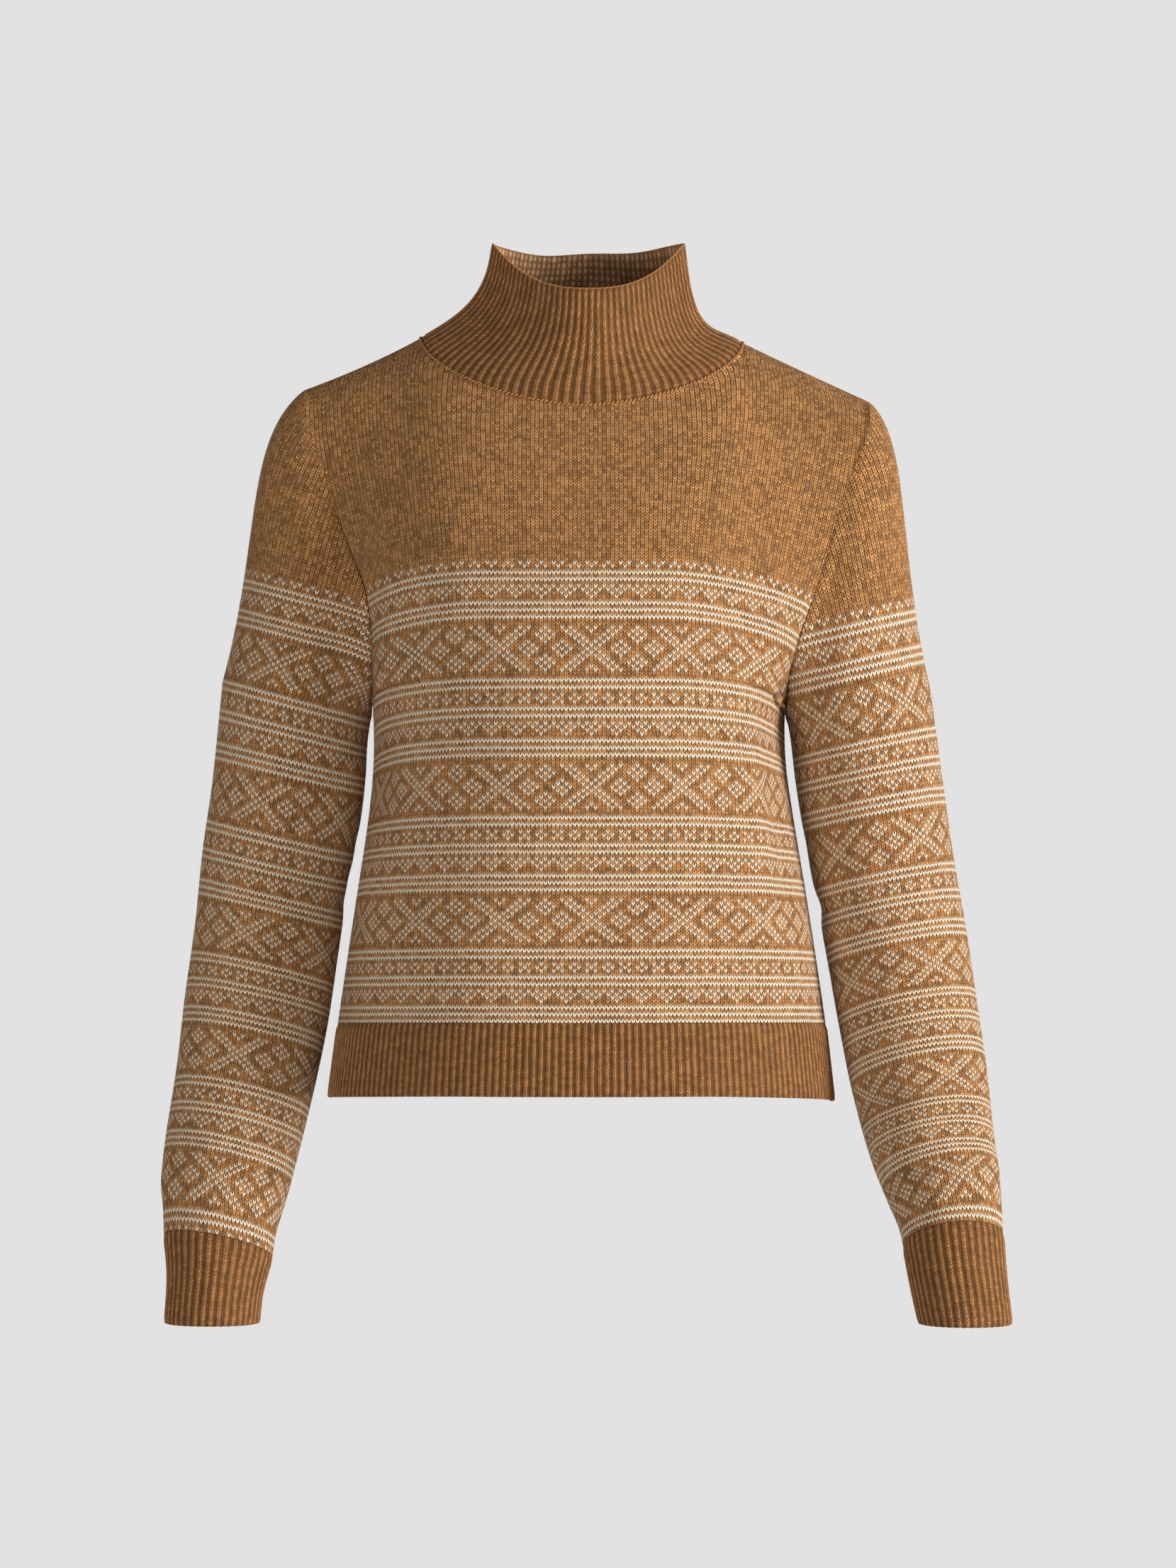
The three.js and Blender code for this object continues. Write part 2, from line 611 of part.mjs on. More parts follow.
// Ways from a tube's rows of points to its centres.
function tubeInward(rows, centres) {
  return rows.map((row, r) => {
    const axis = centres[Math.min(r + 1, rows.length - 1)].clone()
      .sub(centres[Math.max(r - 1, 0)]).normalize();
    return row.map((point) => {
      const inward = centres[r].clone().sub(point);
      return inward.addScaledVector(axis, -inward.dot(axis)).normalize();
    });
  });
}

// The sleeve's columns from the armhole seam to its first full section below the armpit.
function capRows(side, ring) {
  const { out } = armholeAxis(side);
  const columns = ring.points.length;
  const starts = [];
  const inward = [];
  const curves = ring.points.map((end, i) => {
    const turn = (2 * Math.PI * i) / columns;
    const face = turn <= Math.PI ? FRONT : BACK;
    const fromTop = face === FRONT ? turn : 2 * Math.PI - turn;
    const seam = armholePoint(side, face, fromTop);
    if (Math.abs(Math.sin(turn)) < TINY) seam.setY(0);
    const wayIn = armholeInward(side, seam);
    const start = seam.clone().addScaledVector(out, SEAM_GAP);
    const low = (1 - Math.cos(fromTop)) / 2;
    const leave = ring.up.clone().multiplyScalar(-mix(CAP_DOWN.shoulder, CAP_DOWN.armpit, low))
      .addScaledVector(out, mix(CAP_OUT.shoulder, CAP_OUT.armpit, low))
      .addScaledVector(wayIn, -CAP_PROUD * Math.sin(fromTop))
      .normalize();
    const share = Math.min(start.distanceTo(end) / CAP_SPAN, 1);
    starts.push(start);
    inward.push(wayIn);
    return [
      start,
      start.clone().addScaledVector(leave, CAP_START[side] * share),
      end.clone().addScaledVector(ring.up, CAP_END[side] * share),
      end,
    ];
  });
  const rows = [];
  for (let r = 0; r < SLEEVE_CAP_LEVELS; r += 1) {
    rows.push(curves.map((curve) => bend(...curve, r / SLEEVE_CAP_LEVELS)));
  }
  return { rows, inward };
}

function sleeve(name, side) {
  const table = SLEEVE[side];
  const first = armRing(table, side, 0);
  const cap = capRows(side, first);
  const rows = [...cap.rows];
  const centres = cap.rows.map((row) => (
    row.reduce((sum, point) => sum.add(point), vector(0, 0, 0)).divideScalar(row.length)));
  for (let i = 0; i <= SLEEVE_LEVELS; i += 1) {
    const ring = armRing(table, side, (i / SLEEVE_LEVELS) * (table.length - 1));
    rows.push(ring.points);
    centres.push(ring.centre);
  }
  const inward = tubeInward(rows, centres);
  inward[0] = cap.inward;
  return wallMesh(name, rows, offset(rows, inward, WALL), true, CAMEL_AND_CREAM);
}

function cuff(name, side) {
  const table = CUFF[side];
  const rows = [];
  const centres = [];
  for (let i = 0; i <= CUFF_LEVELS; i += 1) {
    const ring = armRing(table, side, (i / CUFF_LEVELS) * (table.length - 1));
    const drop = i === 0 ? SEAM_GAP : 0;
    rows.push(ring.points.map((point) => point.addScaledVector(ring.up, -drop)));
    centres.push(ring.centre);
  }
  return ribbedWall(name, rows, tubeInward(rows, centres), CUFF_RIBS, true);
}

// The collar, from the neckline in a smooth flare up to its pinched top edge.
function collar(name) {
  const quarter = NECK_COLUMNS / 2;
  const columns = 4 * quarter;
  const curves = [];
  const seamInward = [];
  for (let i = 0; i < columns; i += 1) {
    const round = (2 * Math.PI * i) / columns;
    const inFront = Math.cos(round) > -TINY;
    const face = inFront ? FRONT : BACK;
    const turn = Math.asin(Math.sin(round));
    const side = Math.abs(Math.sin(round));
    const open = Math.abs(Math.cos(round));
    const base = neckPoint(face, turn);
    if (open < TINY) base.setY(0);
    const top = vector(
      COLLAR_TOP.centre + COLLAR_TOP.half * Math.sin(round),
      face * COLLAR_TOP.depth[face] * open ** COLLAR_TOP.pinch,
      mix(COLLAR_TOP.middle[face], COLLAR_TOP.corner, side ** COLLAR_TOP.curve[face]),
    );
    const inwardLevel = vector(-Math.sin(round), Math.cos(round), 0).normalize();
    const flare = inwardLevel.clone().multiplyScalar(
      mix(COLLAR_FLARE.middle[0], COLLAR_FLARE.side[0], side ** 2));
    flare.z = mix(COLLAR_FLARE.middle[1], COLLAR_FLARE.side[1], side ** 2);
    flare.normalize();
    const start = base.addScaledVector(flare, COLLAR_GAP);
    const stand = inwardLevel.clone().multiplyScalar(COLLAR_STAND.lean).setZ(1).normalize();
    const stretch = top.distanceTo(start) / COLLAR_SPAN;
    const reach = mix(COLLAR_STAND[LEFT], COLLAR_STAND[RIGHT], (1 + Math.sin(round)) / 2);
    curves.push([
      start,
      start.clone().addScaledVector(flare, COLLAR_FLARE.length * stretch),
      top.clone().addScaledVector(stand, -reach * stretch),
      top,
    ]);
    seamInward.push(neckInward(face, turn));
  }
  const rows = [];
  const centres = [];
  for (let r = 0; r <= COLLAR_LEVELS; r += 1) {
    const row = curves.map((curve) => bend(...curve, r / COLLAR_LEVELS));
    rows.push(row);
    centres.push(vector(mix(0, COLLAR_TOP.centre, r / COLLAR_LEVELS), 0, 0));
  }
  const around = rows.map((row) => [row.at(-1), ...row, row[0]]);
  const normals = gridNormals(around, (point) => vector(0, 0, point.z - COLLAR_TOP.corner));
  const inward = normals.map((row) => row.slice(1, -1).map((normal) => normal.negate()));
  inward[0] = seamInward;
  return ribbedWall(name, rows, inward, COLLAR_RIBS, true, COLLAR_INSIDE_COLUMNS, true);
}

const jumper = new THREE.Group();
jumper.add(
  panel('front', FRONT),
  panel('back', BACK),
  hem('hem_front', FRONT),
  hem('hem_back', BACK),
  sleeve('sleeve_left', LEFT),
  sleeve('sleeve_right', RIGHT),
  cuff('cuff_left', LEFT),
  cuff('cuff_right', RIGHT),
  collar('collar'),
);

export default jumper;
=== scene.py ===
# %% [markdown]
# # A fair isle jumper in Blender
# The jumper is filled out as if it were worn, with nobody in it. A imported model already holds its
# nine knitted pieces as plain walls at their real size. This script puts the knitted look over
# them: finer shells, ribs, stitches, the charted pattern, the linked seams and the yarn's nap.

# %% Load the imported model
import json
import math
import bpy
import numpy as np
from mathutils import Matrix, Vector

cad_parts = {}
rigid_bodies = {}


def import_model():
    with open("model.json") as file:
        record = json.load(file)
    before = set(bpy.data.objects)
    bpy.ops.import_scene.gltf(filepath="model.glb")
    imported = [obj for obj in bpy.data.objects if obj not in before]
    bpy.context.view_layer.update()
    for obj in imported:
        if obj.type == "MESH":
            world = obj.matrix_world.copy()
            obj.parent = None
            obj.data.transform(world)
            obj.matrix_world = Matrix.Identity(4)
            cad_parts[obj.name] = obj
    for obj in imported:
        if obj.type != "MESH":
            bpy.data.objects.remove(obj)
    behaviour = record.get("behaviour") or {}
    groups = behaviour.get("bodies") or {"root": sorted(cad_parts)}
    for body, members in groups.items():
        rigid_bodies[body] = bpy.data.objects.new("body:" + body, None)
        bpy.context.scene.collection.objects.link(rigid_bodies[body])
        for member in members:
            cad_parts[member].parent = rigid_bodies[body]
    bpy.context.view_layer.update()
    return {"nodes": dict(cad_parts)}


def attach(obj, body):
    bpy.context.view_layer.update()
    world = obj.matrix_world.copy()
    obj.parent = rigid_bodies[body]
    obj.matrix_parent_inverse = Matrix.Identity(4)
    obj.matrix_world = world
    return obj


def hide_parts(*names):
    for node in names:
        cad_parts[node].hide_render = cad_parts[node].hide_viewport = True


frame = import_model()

print("pieces in the frame:", sorted(frame["nodes"]))

# %% [markdown]
# ## The jumper's measurements
# A pattern cutter starts from a table of measurements, and so do we. The same tables shape the
# packed walls, so whatever is built from them lies on those walls. Everything is in millimetres
# here, and is turned into metres only when a mesh is made.

# %% The torso, the armholes and the neckline
FRONT, BACK = -1, 1
LEFT, RIGHT = -1, 1
WALL = 2.0
SEAM_GAP = 0.3
TINY = 1e-9
SAME_TURN = 1e-6

# height, middle across, half width, depth in front, depth behind, drop of the left and right ends
TORSO = np.array([
    [-495.5, -0.3, 167.6, 122, 116, 5.5, 8],
    [-448, 0, 161.5, 121, 113, 4, 4],
    [-400, 0, 154.5, 120, 107, 5, 5],
    [-350, 0, 147, 119, 101, 6.5, 7],
    [-300, -0.5, 140, 121, 98, 9, 10],
    [-262, -1.5, 136, 125.5, 101, 13, 15],
    [-225, -2, 136, 128, 104, 16, 21],
])
HEM_Z, RIB_TOP_Z, CHEST_Z = -495.5, -448, -225
SQUARENESS = {FRONT: 2.35, BACK: 2.3}

# share of the height from armpit to shoulder, how far out the left and the right seam is
ARMHOLE = np.array([
    [0, 138, 134], [0.18, 137.5, 139], [0.34, 141, 150], [0.46, 149.5, 158.5],
    [0.6, 161, 166.5], [0.75, 171, 177], [0.9, 181, 188.5], [1, 183.5, 190.5],
])
ARMPIT_Z = {LEFT: -241, RIGHT: -246}
SHOULDER_Z = {LEFT: -32.5, RIGHT: -40.5}
ARMHOLE_DEPTH = {FRONT: 52, BACK: 56}

NECK_HALF = 107
NECK_DEPTH = {FRONT: 62, BACK: 58}
NECK_MIDDLE_Z = {FRONT: -46, BACK: 6}
NECK_SHARE = 0.52
NECK_TILT = 1.6
# how far the wall leans down beside the neckline, in the middle and at the side
NECK_WALL_DOWN = 0.35, 0.88
NECK_ROUND = 1.7
SHOULDER_SAG = {LEFT: 2.2, RIGHT: 0.4}

# the fabric's slope, towards the other panel and up, and how far it bends, at the top of a panel
TOP_MIDDLE = np.array([0.5, 0.86, 60])
TOP_CORNER = np.array([0.84, 0.54, 68])
TOP_ARMHOLE = np.array([0.93, 0.33, 74])

# %% The sleeves and the cuffs
# outer point across and up, inner point across and up, middle back, half depth, degrees of lift
SLEEVE = {
    LEFT: np.array([
        [238.3, -226, 139.8, -253, 5, 51, 0], [245.2, -291, 146.3, -314.5, 10, 47, 0],
        [252, -338, 155, -361.5, 12, 45, 0], [256.7, -385, 162, -408.5, 11, 43, 4],
        [263, -432, 168.5, -453, 6, 41.5, 9], [268, -479, 178, -500, -4, 39.5, 13],
        [274.5, -525, 189, -546, -18, 37, 16], [276.5, -548, 195, -569, -26, 35, 18],
        [275.5, -571, 201, -589.5, -34, 32, 18], [274.5, -589, 203, -604, -41, 30, 17],
    ]),
    RIGHT: np.array([
        [231.5, -232, 136.2, -255, 3, 51, 0], [240.2, -295.5, 145.3, -314.5, 7, 47, 3],
        [247, -342.5, 153.8, -361.5, 7, 45, 5], [255, -389.5, 162.5, -408.5, 3, 43, 9],
        [261.5, -436.5, 170.5, -455, -6, 41.5, 14], [267.5, -482.5, 179.5, -501.5, -21, 39.5, 20],
        [271, -524, 190, -540, -40, 37, 25], [273.5, -546.5, 199.5, -565, -52, 35, 27],
        [274.5, -569, 207, -583, -65, 32, 28], [275, -587, 209.5, -594, -75, 30, 27],
    ]),
}
CUFF = {
    LEFT: np.array([
        SLEEVE[LEFT][-1],
        [271.5, -616.5, 209, -626.5, -51, 27.5, 11],
        [272.5, -646, 211, -646, -61, 27, 0],
    ]),
    RIGHT: np.array([
        SLEEVE[RIGHT][-1],
        [276, -613.5, 214, -620.5, -92, 27.5, 17],
        [278.5, -643, 218.5, -643, -108, 27, 0],
    ]),
}
CAP_START = {LEFT: 50, RIGHT: 36}
CAP_END = {LEFT: 97, RIGHT: 95}
CAP_SPAN = 188
# how much a cap leaves its seam downwards and outwards, at the top and at the bottom
CAP_DOWN, CAP_OUT = (0.5, 1), (0.65, 0.3)
CAP_FULL = 0.32
print("sleeve rows:", len(SLEEVE[LEFT]), "torso rows:", len(TORSO))

# %% [markdown]
# ## Reading a table between its rows
# A smooth cubic goes through the rows, so a surface sampled between them has no kinks. Handles
# with a direction and a length bend the yoke, the sleeve caps and the collar into place.


# %% Helpers for curves
def read_rows(table, at):
    last = len(table) - 1
    i = min(int(at), last - 1)
    f = at - i
    here, after = table[i], table[i + 1]
    before = table[i - 1] if i > 0 else 2 * here - after
    beyond = table[i + 2] if i + 2 <= last else 2 * after - here
    slope_here, slope_after = (after - before) / 2, (beyond - here) / 2
    return ((2 * f**3 - 3 * f**2 + 1) * here + (f**3 - 2 * f**2 + f) * slope_here
            + (3 * f**2 - 2 * f**3) * after + (f**3 - f**2) * slope_after)


def row_number(table, value):
    keys = table[:, 0]
    i = int(np.clip(np.searchsorted(keys, value) - 1, 0, len(keys) - 2))
    return i + (value - keys[i]) / (keys[i + 1] - keys[i])


def smooth(value, low, high):
    t = np.clip((value - low) / (high - low), 0, 1)
    return t * t * (3 - 2 * t)


def mix(low, high, share):
    return low + (high - low) * share


def unit(vectors):
    return vectors / np.maximum(np.linalg.norm(vectors, axis=-1, keepdims=True), TINY)


def blend_ways(ways, others, share):
    return unit(ways * (1 - share) + others * share)


def bend(start, leave, arrive, end, t):
    return ((1 - t)**3 * start + 3 * (1 - t)**2 * t * leave
            + 3 * (1 - t) * t**2 * arrive + t**3 * end)


def add_up(steps, axis=0):
    """Running sums that start from 0, so there is one more of them than there are steps."""
    start = np.zeros_like(np.take(steps, [0], axis))
    return np.concatenate([start, np.cumsum(steps, axis)], axis)


def run_length(points, axis=0):
    """Distance along a line of points, or along the rows or columns of a grid."""
    return add_up(np.linalg.norm(np.diff(points, axis=axis), axis=-1), axis)


# %% [markdown]
# ## The body
# Below the armholes each level of the body is two halves of a rounded oval, one for the front and
# one for the back. Above them the fabric rises to the neckline and the shoulders, and the
# armholes pull its sides in. A place is a share of the way across, from -1 at one side to 1.


# %% A level of the torso
OVAL_POINTS = 1201
MIDDLE_SHARE = 0.3


def half_oval(half, depth, squareness, places):
    angle = np.linspace(-math.pi / 2, math.pi / 2, OVAL_POINTS)
    power = 2 / squareness
    x = half * np.sign(np.sin(angle)) * np.abs(np.sin(angle))**power
    y = depth * np.maximum(np.cos(angle), 0)**power
    length = add_up(np.hypot(np.diff(x), np.diff(y)))
    target = (places + 1) / 2 * length[-1]
    return np.interp(target, length, x), np.interp(target, length, y)


def sag_at(places, left, right):
    """How far a level hangs below its middle, growing towards its two ends."""
    edge = np.maximum((np.abs(places) - MIDDLE_SHARE) / (1 - MIDDLE_SHARE), 0)
    return np.where(places < 0, left, right) * edge**1.6


def torso_ring(face, z, places):
    _, centre, half, front, back, left, right = read_rows(TORSO, row_number(TORSO, z))
    x, y = half_oval(half, front if face == FRONT else back, SQUARENESS[face], places)
    return np.stack([centre + x, face * (SEAM_GAP / 2 + y), z - sag_at(places, left, right)], -1)


# %% The armhole seam and the neckline
def armhole_point(side, face, turn):
    height = (1 + math.cos(turn)) / 2
    row = read_rows(ARMHOLE, row_number(ARMHOLE, height))
    z = ARMPIT_Z[side] + (SHOULDER_Z[side] - ARMPIT_Z[side]) * height
    depth = SEAM_GAP / 2 + ARMHOLE_DEPTH[face] * math.sin(turn)
    return np.array([side * row[1 if side == LEFT else 2], face * depth, z])


def armhole_frame(side):
    top, bottom = armhole_point(side, FRONT, 0), armhole_point(side, FRONT, math.pi)
    up = unit(top - bottom)
    middle = (top + bottom) / 2
    middle[1] = 0
    return np.array([side * up[2], 0, -side * up[0]]), middle


def armhole_inward(side, point):
    out, middle = armhole_frame(side)
    inward = middle - point
    return unit(inward - out * np.dot(inward, out))


def neck_point(face, turn):
    across = np.minimum(np.abs(np.sin(turn)), 1)
    rise = 1 - (1 - across**NECK_ROUND)**(1 / NECK_ROUND)
    depth = SEAM_GAP / 2 + NECK_DEPTH[face] * np.maximum(np.cos(turn), 0)
    z = NECK_MIDDLE_Z[face] * (1 - rise) - NECK_TILT * np.sin(turn)
    return np.stack([NECK_HALF * np.sin(turn), face * depth, z], -1)


def neck_inward(face, turn):
    down = mix(*NECK_WALL_DOWN, np.sin(turn)**2)
    level = np.sqrt(1 - down**2)
    return unit(np.stack([-level * np.sin(turn), -face * level * np.cos(turn), -down], -1))


# %% The yoke, between the chest and the shoulders
CHEST_REACH = 70
SLOPE_STEP = 4
ARMHOLE_PULL = 0.2


def panel_top(face, places):
    share = np.abs(places)
    neck = neck_point(face, np.clip(places / NECK_SHARE, -1, 1) * math.pi / 2)
    f = ((share - NECK_SHARE) / (1 - NECK_SHARE))[:, None]
    ends = np.stack([armhole_point(LEFT if p < 0 else RIGHT, face, 0) for p in places])
    deep = np.where(places < 0, SHOULDER_SAG[LEFT], SHOULDER_SAG[RIGHT])[:, None]
    sag = [0, 0, -4] * (deep * f * (1 - f))
    return np.where(f > 0, neck + (ends - neck) * f + sag, neck)


def panel_top_handle(face, places):
    share = np.abs(places)[:, None]
    on_neck = np.clip(share / NECK_SHARE, 0, 1)**1.5
    on_shoulder = np.clip((share - NECK_SHARE) / (1 - NECK_SHARE), 0, 1)
    slope = (TOP_MIDDLE + (TOP_CORNER - TOP_MIDDLE) * on_neck
             + (TOP_ARMHOLE - TOP_CORNER) * on_shoulder)
    level, up, length = slope.T
    return unit(np.stack([0 * level, -face * level, up], -1)) * length[:, None]


def yoke_ring(face, share, places):
    turn = math.pi * (1 - share)
    near_edge = smooth(np.abs(places), MIDDLE_SHARE, 1)[:, None]
    height = mix(share, (1 + math.cos(turn)) / 2, near_edge)
    cut = places * (1 - ARMHOLE_PULL * math.sin(turn))
    chest, below = (torso_ring(face, z, cut) for z in (CHEST_Z, CHEST_Z - SLOPE_STEP))
    top = panel_top(face, cut)
    leave = chest + CHEST_REACH * unit(chest - below)
    risen = bend(chest, leave, top - panel_top_handle(face, cut), top, height)
    pull_left = armhole_point(LEFT, face, turn) - risen[0]
    pull_right = armhole_point(RIGHT, face, turn) - risen[-1]
    pull = np.where(places[:, None] < 0, pull_left, pull_right)
    return risen + pull * near_edge


def relax(points, outward, apart, times=3):
    """Takes creases out of a grid: each point moves along its normal towards its neighbours,
    which are taken apart steps away, and the edges stay."""
    last_row, last_column = points.shape[0] - 1, points.shape[1] - 1
    r, c = np.indices(points.shape[:2])
    up = np.minimum(apart[0], np.minimum(r, last_row - r))
    aside = np.minimum(apart[1], np.minimum(c, last_column - c))

    def between(a, b, here):
        to_a = np.linalg.norm(a - here, axis=-1, keepdims=True)
        to_b = np.linalg.norm(b - here, axis=-1, keepdims=True)
        return a + (b - a) * to_a / np.maximum(to_a + to_b, TINY)

    for _ in range(times):
        target = (between(points[r + up, c], points[r - up, c], points)
                  + between(points[r, c + aside], points[r, c - aside], points)) / 2
        normal = normals_of(points, outward)
        inside_grid = ((up > 0) & (aside > 0))[..., None]
        move = np.sum((target - points) * normal, -1, keepdims=True) * 0.5
        points = points + normal * move * inside_grid
    return points


# %% [markdown]
# ## Soft folds
# Worn knitwear hangs in soft, rounded folds, never in sharp ones. Each fold here is a gentle ridge
# or trough of its own, placed where the photograph shows one, with similar ones on the sides that
# it hides. They are uneven on purpose: no two have the same size or lean.

# %% Where the folds lie
# face, middle across, middle up, half width, half height, lean, height (negative: pressed in)
BODY_FOLDS = [
    (FRONT, 129, -318, 9, 52, -0.1, -5), (FRONT, 116, -325, 12, 60, -0.1, 2.5),
    (FRONT, 141, -200, 19, 24, -0.1, 6), (FRONT, 128, -258, 13, 24, -0.3, -3.5),
    (FRONT, -124, -200, 14, 42, 0.15, 3), (FRONT, -132, -290, 11, 45, 0.05, -3),
    (FRONT, -118, -130, 32, 62, -0.25, 7),
    (BACK, -126, -215, 13, 50, 0.2, 4), (BACK, 124, -230, 13, 48, -0.2, 4),
    (BACK, -60, -330, 16, 70, 0.12, -3), (BACK, 74, -350, 15, 66, -0.1, -3),
]
FINE_FOLDS = [
    (FRONT, 96, -182, 9, 30, -0.55, -1.2), (FRONT, -98, -176, 9, 32, 0.6, -1.1),
    (FRONT, 62, -395, 22, 40, 0.1, 0.9), (FRONT, -70, -360, 24, 48, -0.12, 0.8),
    (FRONT, -20, -420, 20, 30, 0.05, -0.7), (FRONT, 20, -300, 26, 34, 0.08, -0.6),
    (FRONT, 140, -400, 12, 40, -0.05, 1.4), (FRONT, -142, -380, 12, 44, 0.06, 1.2),
    (FRONT, 150, -110, 10, 34, 0.2, -1.6), (FRONT, -146, -104, 10, 34, -0.2, -1.6),
    (BACK, 0, -150, 20, 60, 0.03, -1.2), (BACK, 40, -430, 24, 30, -0.06, 1.1),
    (BACK, -110, -410, 18, 44, 0.1, 1.4), (BACK, 116, -300, 10, 40, -0.25, -1.5),
    (BACK, -98, -150, 11, 34, 0.5, -1.4), (BACK, 100, -160, 11, 34, -0.5, -1.4),
    (BACK, 18, -250, 30, 20, 0.3, 1.0), (FRONT, -137, -214, 11, 38, 0.2, 2.6),
    (FRONT, -122, -78, 24, 40, -0.1, 2.2), (FRONT, -86, -150, 20, 60, -0.05, 1.6),
]


def raise_folds(face, points):
    height = np.zeros(points.shape[:-1])
    for fold_face, x, z, wide, tall, lean, high in BODY_FOLDS + FINE_FOLDS:
        if fold_face == face:
            along = points[..., 2] - z
            across = (points[..., 0] - x - lean * along) / wide
            height += high * np.exp(-(along / tall)**2 - across**2)
    return height


print("folds on the body:", len(BODY_FOLDS) + len(FINE_FOLDS))

# %% [markdown]
# ## Stitch coordinates
# A knitted pattern follows the stitches, not the picture, so every point of the fabric needs to
# know which stitch it lies in. We count stitches along each row and rows along each column on the
# surface itself, and keep the two numbers in a UV map. Materials then draw stitches from it.

# %% Count stitches over a grid of points
STITCH_WIDE = 2.71
ROW_TALL = 2.28
LEAST_RISE = 0.4


def normals_of(points, outward, round_piece=False):
    if round_piece:
        across = np.roll(points, -1, 1) - np.roll(points, 1, 1)
    else:
        across = np.gradient(points, axis=1)
    normal = unit(np.cross(across, np.gradient(points, axis=0)))
    flip = np.sign(np.sum(normal * outward))
    return normal * flip


def stitches_across(points, zero):
    """Stitches along each row from the column that zero gives for the row."""
    along = unit(np.gradient(points, axis=0))
    step = np.diff(points, axis=1)
    middle = unit(along[:, 1:] + along[:, :-1])
    step = step - middle * np.sum(step * middle, -1, keepdims=True)
    length = add_up(np.linalg.norm(step, axis=-1), 1)
    columns = np.arange(points.shape[1])
    start = np.array([np.interp(zero[r], columns, length[r]) for r in range(len(points))])
    return (length - start[:, None]) / STITCH_WIDE


def rows_up(points, across, first, tall):
    """Rows up each column from first on the lowest row, counted down as negative numbers."""
    step = np.linalg.norm(np.diff(points, axis=0), axis=-1)
    aside = np.diff(across, axis=0) * STITCH_WIDE
    rise = np.sqrt(np.maximum(step**2 - aside**2, (LEAST_RISE * step)**2)) / tall
    return first - add_up(rise)


# %% [markdown]
# ## From a grid to a shell of cloth
# Each piece is a thin closed shell: the outside, the inside 2 mm behind it, and a rounded edge
# between them. A grid of points with a way inwards at each is all that this needs, and it keeps
# the stitch coordinates exact, which a modifier would not.


# %% Build a shell
# how far a shell's rounded edge stands out, and the share of the wall at which it does so
SEWN_EDGE, SEWN_RIM = 0.15, 0.15
FREE_EDGE, FREE_RIM = 0.5, 0.5


def add_object(name, data):
    thing = bpy.data.objects.new(name, data)
    bpy.context.scene.collection.objects.link(thing)
    return thing


def grid_quads(numbers, across, up):
    """Quads between the rows of vertex numbers, with the two coordinates at each corner."""
    quads = np.stack([numbers[:-1, :-1], numbers[:-1, 1:], numbers[1:, 1:], numbers[1:, :-1]], -1)
    corners = [np.stack([a[:-1, :-1], a[:-1, 1:], a[1:, 1:], a[1:, :-1]], -1)
               for a in (across, up)]
    return quads.reshape(-1, 4), np.stack(corners, -1).reshape(-1, 4, 2)


def mark_rims(mesh, rows, columns, round_piece):
    """Marks the edges round the outside of a shell as sharp ones."""
    ends = np.zeros(len(mesh.edges) * 2, np.int64)
    mesh.edges.foreach_get("vertices", ends)
    row, column = ends.reshape(-1, 2) // columns, ends.reshape(-1, 2) % columns
    along_rim = (row[:, 0] == row[:, 1]) & np.isin(row[:, 0], (1, rows))
    if not round_piece:
        on_outside = (row >= 1).all(1) & (row <= rows).all(1)
        along_side = (column[:, 0] == column[:, 1]) & np.isin(column[:, 0], (0, columns - 1))
        along_rim |= on_outside & along_side
    sharp = mesh.attributes.new("sharp_edge", "BOOLEAN", "EDGE")
    sharp.data.foreach_set("value", along_rim.tolist())


def stacked(values):
    """The values of a grid for its rim, outside, rim, inside and rim again."""
    return np.concatenate([values[:1], values, values[-1:], values[::-1], values[:1]])


